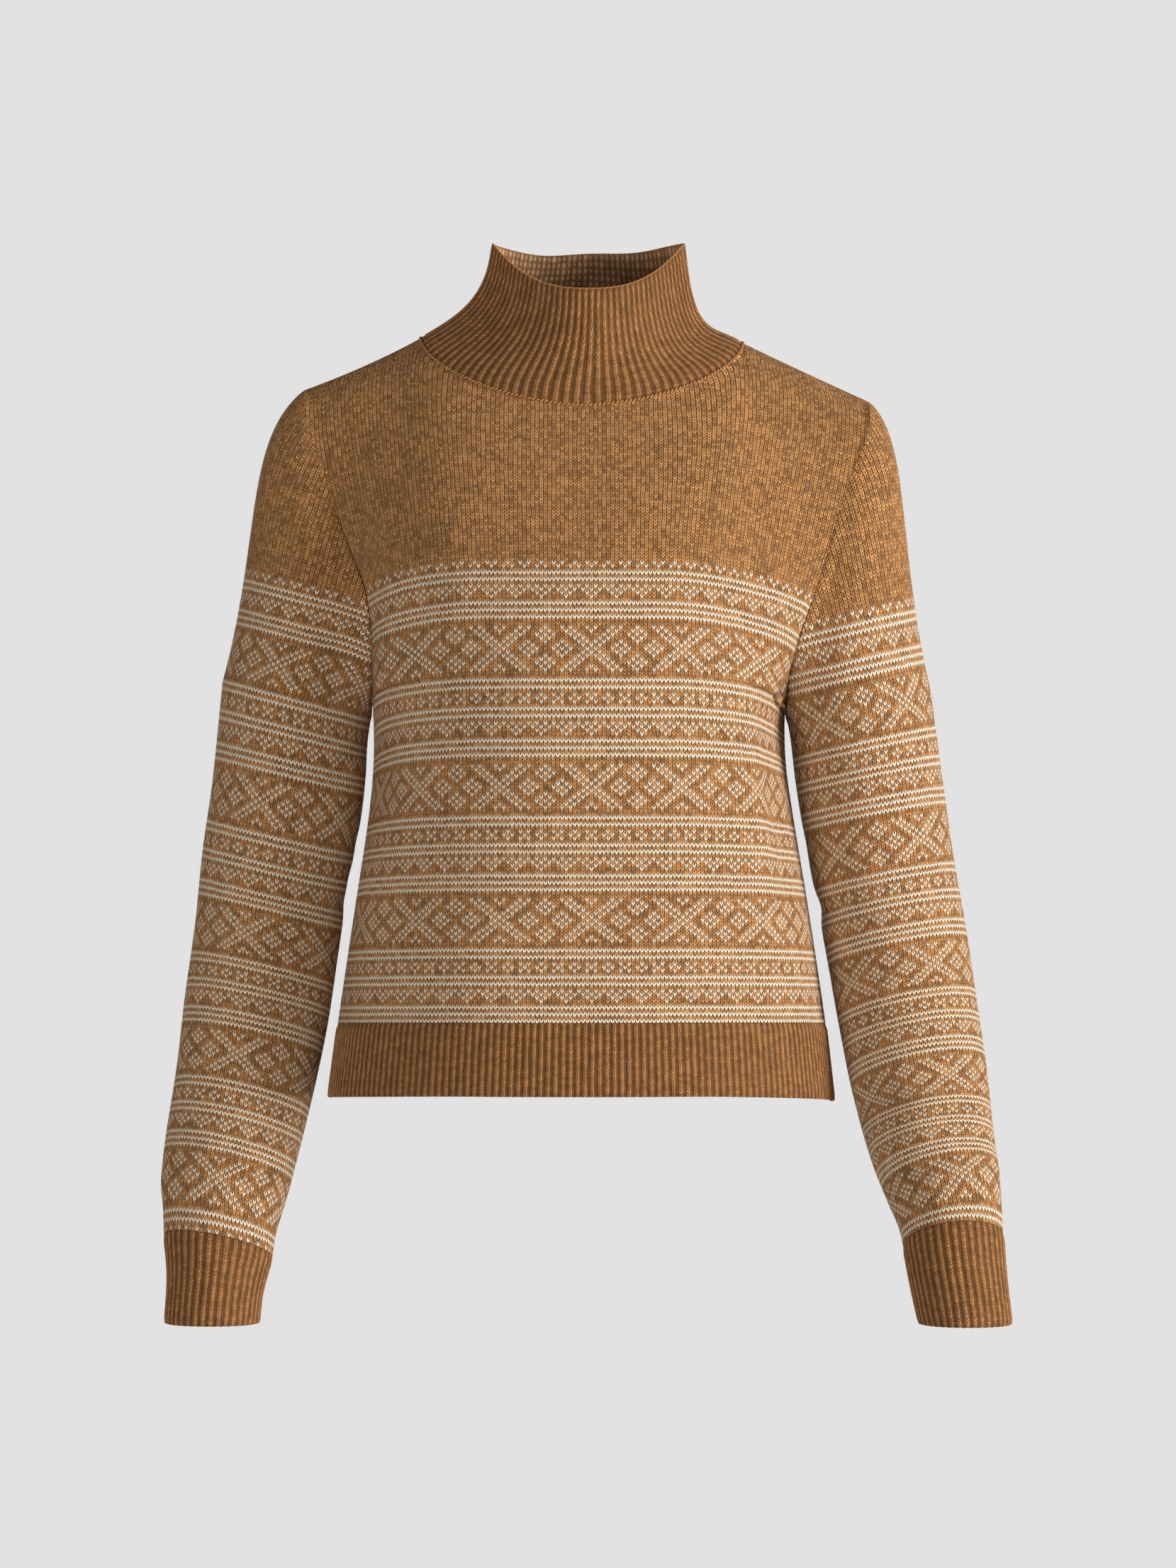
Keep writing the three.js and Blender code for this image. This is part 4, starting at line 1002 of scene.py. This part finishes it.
# %% Knit the sleeves
def sleeve(name, side):
    turns = np.linspace(-math.pi, math.pi, ARM_COLUMNS, endpoint=False)
    table = SLEEVE[side]
    first, first_centre, first_up, first_wide = arm_ring(table, side, 0, turns)
    cap, ways = cap_grid(side, first, first_up, turns)
    tube, centres, across_rows, down_rows = [], [], [], []
    pattern = SLEEVE_PATTERN[side]
    for at in np.linspace(0, len(table) - 1, TUBE_STEPS + 1):
        ring, centre, up, wide = arm_ring(table, side, at, turns)
        tube.append(ring)
        centres.append(centre)
        half = np.linalg.norm(wide)
        aside = np.interp(centre[2], pattern[:, 0], pattern[:, 2])
        column_turn = math.acos(aside / half)
        column_z = centre[2] + aside / half * wide[2]
        down_rows.append(np.interp(column_z, pattern[:, 0], pattern[:, 1]))
        fine = np.linspace(-math.pi, math.pi, ARM_POINTS)
        loop, _, _, _ = arm_ring(table, side, at, fine)
        length = run_length(loop)
        edges = np.append(turns, math.pi)
        count = (np.interp(edges, fine, length) - np.interp(column_turn, fine, length))
        across_rows.append(count / STITCH_WIDE)
    tube = np.array(tube)
    base = np.concatenate([cap, tube])

    # Stitches over the cap, by the angle round the arm's axis
    spoke = cap - first_centre
    spoke -= first_up * np.sum(spoke * first_up, -1, keepdims=True)
    out_way = unit(first_wide)
    outward_part = spoke @ out_way
    forward_part = -spoke[..., 1]
    half, deep = np.linalg.norm(first_wide), table[0][5]
    angle = np.arctan2(forward_part / deep, outward_part / half)
    angle[:, 0] = -math.pi
    angle = np.concatenate([angle, np.full((CAP_STEPS, 1), math.pi)], 1)
    edges = np.append(turns, math.pi)
    cap_across = np.interp(angle, edges, across_rows[0])
    across = np.concatenate([cap_across, np.array(across_rows)])
    closed_cap = np.concatenate([cap, cap[:, :1]], 1)
    with_first = np.concatenate([closed_cap, np.append(first, first[:1], 0)[None]])
    cap_down = rows_up(with_first[::-1], across[:CAP_STEPS + 1][::-1], down_rows[0],
                       CAP_ROW_TALL[side])[::-1][:-1]
    down = np.concatenate([cap_down, np.repeat(np.array(down_rows)[:, None], ARM_COLUMNS + 1, 1)])

    axis_points = np.concatenate([cap.mean(1), np.array(centres)])
    outward = base - axis_points[:, None]
    normal = normals_of(base, outward, True)
    from_seam = run_length(base)
    fade = (smooth(from_seam, 0, SLEEVE_FOLD_FADE)
            * smooth(from_seam[-1] - from_seam, 0, SLEEVE_FOLD_FADE))
    dip = SEAM_DIP * np.exp(-(from_seam / SEAM_DIP_WIDE)**2)
    lift = sleeve_folds(side, base, turns) * fade - dip
    shaped = base + normal * lift[..., None]
    inward = blend_ways(-normals_of(shaped, outward, True), ways[None], near_seam(base))
    return make_shell(name, shaped, inward, across, down, True, [fair_isle, inside], sewn=True)


sleeve_left = sleeve("jumper_sleeve_left", LEFT)
sleeve_right = sleeve("jumper_sleeve_right", RIGHT)

# %% [markdown]
# ## The ribs
# One by one rib draws in, so its knit columns stand up as rounded ridges with deep grooves of
# purl between them. That relief is large enough to see on the edges, so it is real geometry: each
# ridge gets eight points across, and the stitches on it come from the material.

# %% The rib's profile
RIB_POINTS = 8
RIB_HIGH = 0.75
RIB_NARROW = 1.7
RIB_ROW_TALL = 2.2


def rib_profile(across):
    """Height of the ridge at a place counted in ribs, with the ridge in the middle of each."""
    return RIB_HIGH * (0.5 - 0.5 * np.cos(2 * math.pi * across))**RIB_NARROW


def rib_relief(ribs, from_seam, faint, fade, sink, sink_wide, turn_in, edge):
    """Height of the ribs over the plain fabric; from_seam is 0 at the seam and 1 at the free edge.
    Beside the seam the ridges are faint and the fabric sinks in, and at the edge it turns in."""
    ridges = rib_profile(ribs)[None] * mix(faint, 1, smooth(from_seam, 0, fade))
    sunk = sink * (1 - smooth(from_seam, 0, sink_wide))
    return ridges - sunk - turn_in * smooth(from_seam, edge, 1)


def rib_rows(points):
    return run_length(points.mean(1)) / RIB_ROW_TALL


# %% The hem
HEM_RIBS = 98
HEM_STEPS = 12
HEM_SIDE_DIP = 0.6
HEM_SIDE_SHARE = 0.985


def hem(name, face):
    places = np.linspace(-1, 1, HEM_RIBS * RIB_POINTS + 1)
    top = torso_ring(face, RIB_TOP_Z, places) - [0, 0, SEAM_GAP]
    bottom = torso_ring(face, HEM_Z, places)
    t = np.linspace(0, 1, HEM_STEPS + 1)[:, None, None]
    base = bottom * (1 - t) + top * t
    outward = base * [1, 1, 0]
    normal = normals_of(base, outward)
    ribs = (places + 1) / 2 * HEM_RIBS
    high = rib_relief(ribs, 1 - t[..., 0], faint=0.4, fade=0.07, sink=0.7, sink_wide=0.12,
                      turn_in=0.35, edge=0.95)
    shaped = base + normal * (high - edge_dip(base, HEM_SIDE_DIP))[..., None]
    across = np.repeat(ribs[None], len(base), 0)
    down = np.repeat(rib_rows(base)[::-1][:, None], len(places), 1)
    ends = smooth(np.abs(places), HEM_SIDE_SHARE, 1)[None, :, None]
    inward = blend_ways(-normal, np.sign(places)[None, :, None] * [-1.0, 0, 0], ends)
    return make_shell(name, shaped, inward, across, down, False, [rib, inside])


hem_front = hem("jumper_hem_front", FRONT)
hem_back = hem("jumper_hem_back", BACK)

# %% The cuffs
CUFF_RIBS = 38
CUFF_STEPS = 16
# the share of the first section over which the cuff closes up to the sleeve
CUFF_GAP_SHARE = 1 / 8


def cuff(name, side):
    columns = CUFF_RIBS * RIB_POINTS
    turns = np.linspace(-math.pi, math.pi, columns, endpoint=False)
    rows, centres = [], []
    for at in np.linspace(0, 2, CUFF_STEPS + 1):
        ring, centre, up, _ = arm_ring(CUFF[side], side, at, turns)
        rows.append(ring - up * SEAM_GAP * max(0, 1 - at / CUFF_GAP_SHARE))
        centres.append(centre)
    base, centres = np.array(rows), np.array(centres)
    outward = base - centres[:, None]
    normal = normals_of(base, outward, True)
    t = np.linspace(0, 1, CUFF_STEPS + 1)[:, None]
    ribs = np.arange(columns + 1) / RIB_POINTS
    high = rib_relief(ribs[:-1], t, faint=0.4, fade=0.08, sink=0.6, sink_wide=0.1,
                      turn_in=0.35, edge=0.95)
    shaped = base + normal * high[..., None]
    across = np.repeat(ribs[None], len(base), 0)
    down = np.repeat(rib_rows(base)[:, None], columns + 1, 1)
    return make_shell(name, shaped, -normal, across, down, True, [rib, inside])


cuff_left = cuff("jumper_cuff_left", LEFT)
cuff_right = cuff("jumper_cuff_right", RIGHT)

# %% [markdown]
# ## The collar
# The collar is a funnel: it leaves the neckline low and wide, rises in a curve, and ends in an
# edge that is pinched to a point over each shoulder. Its ribs spread out towards the seam. They
# are set at even steps along the neckline and along the top edge, and a curve joins each pair.

# %% Points round the collar
COLLAR_RIBS = 88
COLLAR_STEPS = 34
# half depth of the top edge, height of its middle, and how late it rises to its points
COLLAR_EDGE = {FRONT: (50, 31, 2.6), BACK: (48, 60, 4)}
COLLAR_POINT_Z = 64
COLLAR_TOP_MIDDLE, COLLAR_TOP_HALF = 4.5, 64.5
COLLAR_TOP_PINCH = 1.7
BACK_SLOPE, BACK_WAVE = 2.2, 0.7
EDGE_POINTS = 1441


def panel_at(round_turn):
    return FRONT if math.cos(round_turn) > -SAME_TURN else BACK


def neckline_at(round_turn):
    face = panel_at(round_turn)
    turn = math.asin(max(-1.0, min(1.0, math.sin(round_turn))))
    point = neck_point(face, turn)
    if abs(math.cos(round_turn)) < SAME_TURN:
        point[1] = 0
    return point, neck_inward(face, turn)


def collar_edge_at(round_turn):
    face = panel_at(round_turn)
    side, open_share = abs(math.sin(round_turn)), abs(math.cos(round_turn))
    depth, middle, late = COLLAR_EDGE[face]
    z = mix(middle, COLLAR_POINT_Z, side**late)
    if face == BACK:
        wave = BACK_SLOPE * math.sin(round_turn) + BACK_WAVE * math.cos(6 * round_turn)
        z += open_share * wave
    return np.array([COLLAR_TOP_MIDDLE + COLLAR_TOP_HALF * math.sin(round_turn),
                     face * depth * open_share**COLLAR_TOP_PINCH, z])


def even_turns(point_at, count, crowd):
    """Turns at even steps along a closed edge; crowd moves steps towards or from its middles."""
    fine = np.linspace(0, 2 * math.pi, EDGE_POINTS)
    points = np.array([point_at(turn) for turn in fine])
    length = run_length(points)
    quarters = np.interp(np.arange(5) * math.pi / 2, fine, length)
    result = []
    for i in range(count):
        quarter, f = divmod(4 * i / count, 1)
        g = f if quarter % 2 == 0 else 1 - f
        g = g + crowd * g * (1 - g)
        f = g if quarter % 2 == 0 else 1 - g
        low, high = quarters[int(quarter)], quarters[int(quarter) + 1]
        result.append(np.interp(low + (high - low) * f, length, fine))
    return np.array(result)


# %% Knit the collar
# how much the ribs crowd towards the middles of the neckline and of the top edge
LOW_CROWD, HIGH_CROWD = 0.09, -0.04
COLLAR_GAP = 1.3 * SEAM_GAP
COLLAR_SPAN = 76
# how the funnel leaves the neckline, outwards and upwards, in the middle and at the side
FLARE_OUT, FLARE_UP = (0.2, 0.86), (0.98, 0.51)
FLARE_REACH = 24
# how it arrives at the top edge: its lean, and its reach at the left and at the right
STAND_LEAN = 0.08
STAND_REACH = 37, 64


def collar(name):
    columns = COLLAR_RIBS * RIB_POINTS
    low_turns = even_turns(lambda turn: neckline_at(turn)[0], columns, LOW_CROWD)
    high_turns = even_turns(collar_edge_at, columns, HIGH_CROWD)
    base = np.zeros((COLLAR_STEPS + 1, columns, 3))
    seam_ways = np.zeros((columns, 3))
    t = np.linspace(0, 1, COLLAR_STEPS + 1)[:, None]
    for i in range(columns):
        start, seam_ways[i] = neckline_at(low_turns[i])
        top = collar_edge_at(high_turns[i])
        side = math.sin(low_turns[i])**2
        level = np.array([-math.sin(low_turns[i]), math.cos(low_turns[i]), 0.0])
        flare = level * mix(*FLARE_OUT, side)
        flare[2] = mix(*FLARE_UP, side)
        flare = unit(flare)
        start = start + flare * COLLAR_GAP
        stand = unit(level * STAND_LEAN + np.array([0, 0, 1.0]))
        stretch = np.linalg.norm(top - start) / COLLAR_SPAN
        leave = flare * FLARE_REACH * stretch
        arrive = stand * mix(*STAND_REACH, (1 + math.sin(high_turns[i])) / 2) * stretch
        base[:, i] = bend(start, start + leave, top - arrive, top, t)
    outward = base * [1, 1, 0] + [0, 0, 60]
    normal = normals_of(base, outward, True)
    ribs = np.arange(columns + 1) / RIB_POINTS
    high = rib_relief(ribs[:-1], t, faint=0.35, fade=0.05, sink=0.6, sink_wide=0.06,
                      turn_in=0.45, edge=0.96)
    shaped = base + normal * high[..., None]
    inward = blend_ways(-normal, seam_ways[None], near_seam(base))
    across = np.repeat(ribs[None], len(base), 0)
    down = np.repeat(rib_rows(base)[::-1][:, None], columns + 1, 1)
    return make_shell(name, shaped, inward, across, down, True, [rib, inside])


collar_piece = collar("jumper_collar")

# %% [markdown]
# ## Linked seams and the nap
# Two things repeat too often to place by hand. A linker joins the collar to the neckline with one
# small loop of yarn for each stitch, and a row of loops closes the collar's top edge. Fine fibres
# stand up from brushed wool all over. Geometry Nodes sets both of them out.


# %% Helpers for node trees that set things out
def new_setter(name, inputs):
    tree = bpy.data.node_groups.new(name, "GeometryNodeTree")
    tree.interface.new_socket("Geometry", in_out="INPUT", socket_type="NodeSocketGeometry")
    for kind, label in inputs:
        tree.interface.new_socket(label, in_out="INPUT", socket_type=kind)
    tree.interface.new_socket("Geometry", in_out="OUTPUT", socket_type="NodeSocketGeometry")
    return tree, tree.nodes.new("NodeGroupInput").outputs, tree.nodes.new("NodeGroupOutput").inputs


def set_out(name, source, tree, values):
    """Runs a node tree on a copy of the source and keeps what it makes as a mesh of its own."""
    carrier = add_object(name + "_carrier", source)
    setter = carrier.modifiers.new("set_out", "NODES")
    setter.node_group = tree
    sockets = {item.name: item.identifier for item in tree.interface.items_tree
               if item.in_out == "INPUT"}
    for label, value in values.items():
        setter[sockets[label]] = value
    graph = bpy.context.evaluated_depsgraph_get()
    mesh = bpy.data.meshes.new_from_object(carrier.evaluated_get(graph), depsgraph=graph)
    carrier.modifiers.remove(setter)
    bpy.data.objects.remove(carrier)
    mesh.name = name
    piece = add_object(name, mesh)
    print(f"{name}: {sum(len(face.vertices) - 2 for face in mesh.polygons)} triangles")
    return piece


def stand_on(tree, points, thing, turn, scale):
    """The thing on every point, turned further about its own axes."""
    turned = add_node(tree, "FunctionNodeRotateRotation",
                      {"Rotation": points["Rotation"], "Rotate By": turn}, rotation_space="LOCAL")
    return add_node(tree, "GeometryNodeInstanceOnPoints",
                    {"Points": points["Points"], "Instance": thing,
                     "Rotation": turned.outputs["Rotation"], "Scale": scale}).outputs[0]


def keep_as_mesh(tree, things, finish, put, rounded):
    """Makes one mesh of what was set out and gives it its finish."""
    made = add_node(tree, "GeometryNodeRealizeInstances", {0: things}).outputs[0]
    if rounded:
        made = add_node(tree, "GeometryNodeSetShadeSmooth", {0: made}).outputs[0]
    coloured = add_node(tree, "GeometryNodeSetMaterial", {0: made, "Material": finish})
    tree.links.new(coloured.outputs[0], put["Geometry"])


# %% A tree that links loops along a line
WHOLE, VECTOR, FINISH = "NodeSocketInt", "NodeSocketVector", "NodeSocketMaterial"
link_tree, given, put = new_setter("linked_loops", [
    (WHOLE, "Loops"), (VECTOR, "Loop size"), (NUMBER, "Slant"), (FINISH, "Yarn")])
line = add_node(link_tree, "GeometryNodeMeshToCurve", {"Mesh": given["Geometry"]})
places = add_node(link_tree, "GeometryNodeCurveToPoints",
                  {"Curve": line.outputs["Curve"], "Count": given["Loops"]}, mode="COUNT")
bead = add_node(link_tree, "GeometryNodeMeshUVSphere", {"Segments": 8, "Rings": 6, "Radius": 0.5})
slant = add_node(link_tree, "ShaderNodeCombineXYZ", {"X": given["Slant"]})
loops = stand_on(link_tree, places.outputs, bead.outputs["Mesh"], slant.outputs[0],
                 given["Loop size"])
keep_as_mesh(link_tree, loops, given["Yarn"], put, rounded=True)
print("linking tree:", len(link_tree.nodes), "nodes")

# %% A tree that raises a nap
nap_tree, given, put = new_setter("brushed_nap", [
    (NUMBER, "Fibres in a square metre"), (NUMBER, "Length"), (NUMBER, "Thickness"),
    (WHOLE, "Seed"), (FINISH, "Wool")])
which = add_node(nap_tree, "GeometryNodeInputMaterialIndex")
outside = add_node(nap_tree, "FunctionNodeCompare", {"A": which.outputs[0]},
                   data_type="INT", operation="EQUAL")
roots = add_node(nap_tree, "GeometryNodeDistributePointsOnFaces",
                 {"Mesh": given["Geometry"], "Selection": outside.outputs[0],
                  "Density": given["Fibres in a square metre"], "Seed": given["Seed"]})
fibre = add_node(nap_tree, "GeometryNodeMeshCone",
                 {"Vertices": 3, "Radius Bottom": given["Thickness"], "Depth": given["Length"]})
lean = add_node(nap_tree, "FunctionNodeRandomValue",
                {"Min": (-1.25, -1.25, 0.0), "Max": (1.25, 1.25, 3.0), "Seed": given["Seed"]},
                data_type="FLOAT_VECTOR")
size = add_node(nap_tree, "FunctionNodeRandomValue", {2: 0.4, 3: 1.2, "Seed": given["Seed"]},
                data_type="FLOAT")
fibres = stand_on(nap_tree, roots.outputs, fibre.outputs["Mesh"], lean.outputs["Value"],
                  size.outputs[1])
keep_as_mesh(nap_tree, fibres, given["Wool"], put, rounded=False)
print("nap tree:", len(nap_tree.nodes), "nodes")

# %% Materials for loops and fibres
link_yarn, tree, skin, _ = new_wool("linking_yarn", sheen=0.2)
skin.inputs["Base Color"].default_value = (0.42, 0.19, 0.066, 1)
nap_wool, tree, skin, _ = new_wool("nap_fibres", sheen=0.0)
skin.inputs["Base Color"].default_value = (0.6, 0.32, 0.135, 1)


def closed_line(name, points):
    mesh = bpy.data.meshes.new(name)
    numbers = range(len(points))
    mesh.from_pydata((points * 0.001).tolist(), [(i, (i + 1) % len(points)) for i in numbers], [])
    return mesh


# %% Link the collar on and close its top edge
round_turns = np.linspace(0, 2 * math.pi, 240, endpoint=False)
neck_line = np.array([neckline_at(turn)[0] - 0.5 * neckline_at(turn)[1] for turn in round_turns])
rim_line = np.array([collar_edge_at(turn) for turn in round_turns])
rim_line[:, 0] += 0.9 * np.sin(-round_turns)
rim_line[:, 1] += 0.9 * np.cos(round_turns)
rim_line[:, 2] += 0.25
neck_link = set_out("jumper_neck_link", closed_line("neck_line", neck_line), link_tree, {
    "Loops": 190, "Loop size": (0.0013, 0.0012, 0.0033), "Slant": 0.55, "Yarn": link_yarn})
rim_link = set_out("jumper_rim_link", closed_line("rim_line", rim_line), link_tree, {
    "Loops": 176, "Loop size": (0.0009, 0.0011, 0.0022), "Slant": 0.3, "Yarn": link_yarn})

# %% Raise the nap on every piece
NAP = {"Fibres in a square metre": 36000.0, "Length": 0.003, "Thickness": 0.00004,
       "Wool": nap_wool}
knitted = [front, back, hem_front, hem_back, sleeve_left, sleeve_right, cuff_left, cuff_right,
           collar_piece]
naps = []
for seed, piece in enumerate(knitted):
    name = piece.name.replace("jumper_", "jumper_nap_")
    naps.append(set_out(name, piece.data, nap_tree, {**NAP, "Seed": seed + 1}))

# %% [markdown]
# ## Join the pieces to the frame
# Each shell takes the place of its wall in the imported model and rides on its one body. The table
# also lists the flat size that it was knitted to, all round on a tube.

# %% Say what each shell replaces and how it was cut
SHELLS = [
    (front, "front", "fair_isle_knit", (0.46, 0.50), 0.185),
    (back, "back", "fair_isle_knit", (0.46, 0.50), 0.185),
    (hem_front, "hem_front", "camel_rib", (0.46, 0.05), 0.023),
    (hem_back, "hem_back", "camel_rib", (0.46, 0.05), 0.023),
    (sleeve_left, "sleeve_left", "fair_isle_knit", (0.33, 0.58), 0.13),
    (sleeve_right, "sleeve_right", "fair_isle_knit", (0.33, 0.58), 0.13),
    (cuff_left, "cuff_left", "camel_rib", (0.2, 0.055), 0.011),
    (cuff_right, "cuff_right", "camel_rib", (0.2, 0.06), 0.012),
    (collar_piece, "collar", "camel_rib", (0.55, 0.09), 0.04),
]
for piece, node, slot, flat, area in SHELLS:
    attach(piece, "root")
    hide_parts(node)
print("shells joined:", len(SHELLS))
for trim in [neck_link, rim_link, *naps]:
    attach(trim, "root")
print("loops and naps joined:", 2 + len(naps))

# %% [markdown]
# ## Floor, light and camera
# The floor is far below, where a wearer would stand, so the picture shows the jumper on a plain
# pale ground. A large soft light stands to the right. A weaker one in front and a small one above
# lighten the shadows, and two more light the back.

# %% Floor and background
FLOOR_Z = -1.36
turns = np.linspace(0, 2 * math.pi, 96, endpoint=False)
disc = bpy.data.meshes.new("floor")
disc.from_pydata([(3.4 * math.cos(t), 3.4 * math.sin(t), FLOOR_Z) for t in turns], [], [range(96)])
floor = add_object("floor", disc)
pale = bpy.data.materials.new("pale_floor")
pale.use_nodes = True
pale.node_tree.nodes["Principled BSDF"].inputs["Base Color"].default_value = (0.42, 0.42, 0.42, 1)
pale.node_tree.nodes["Principled BSDF"].inputs["Roughness"].default_value = 0.8
disc.materials.append(pale)

scene = bpy.context.scene
scene.view_settings.view_transform = "Standard"
world = bpy.data.worlds.new("studio")
scene.world = world
world.use_nodes = True
tree = world.node_tree
backdrop = tree.nodes["Background"]
backdrop.inputs["Color"].default_value = (0.76, 0.76, 0.76, 1)
ambient = add_node(tree, "ShaderNodeBackground", {"Color": (1.0, 0.96, 0.91, 1), "Strength": 0.18})
seen = add_node(tree, "ShaderNodeLightPath").outputs["Is Camera Ray"]
either_one = add_node(tree, "ShaderNodeMixShader",
                      {0: seen, 1: ambient.outputs[0], 2: backdrop.outputs[0]})
tree.links.new(either_one.outputs[0], tree.nodes["World Output"].inputs[0])


# %% Lights
def soft_light(name, place, aim, size, power, colour):
    data = bpy.data.lights.new(name, "AREA")
    data.shape = "RECTANGLE"
    data.size, data.size_y = size
    data.energy = power
    data.color = colour
    light = add_object(name, data)
    light.location = place
    way = Vector(aim) - Vector(place)
    light.rotation_euler = way.to_track_quat("-Z", "Y").to_euler()


soft_light("key", (3.7, -1.4, 0.22), (0, 0, -0.25), (1.8, 2.2), 246, (1.0, 0.985, 0.96))
soft_light("fill", (-1.3, -3.2, -1.0), (0, 0, -0.5), (1.8, 0.8), 60, (1.0, 0.98, 0.95))
soft_light("rim", (1.2, 2.4, 1.4), (0, 0, -0.2), (1.6, 1.0), 14, (1.0, 1.0, 1.0))
soft_light("top", (0.4, -1.1, 1.9), (0, 0, 0.05), (0.8, 0.8), 8, (1.0, 0.98, 0.95))
soft_light("back", (-0.8, 3.6, 0.2), (0, 0, -0.3), (2.0, 1.6), 80, (1.0, 0.99, 0.97))

# %% Camera
camera_data = bpy.data.cameras.new("camera")
camera_data.sensor_width = 36
camera_data.lens = 159.3
camera = add_object("camera", camera_data)
camera.location = (0.0042, -4.6, -0.2938)
camera.rotation_euler = (math.pi / 2, 0, 0)
scene.camera = camera
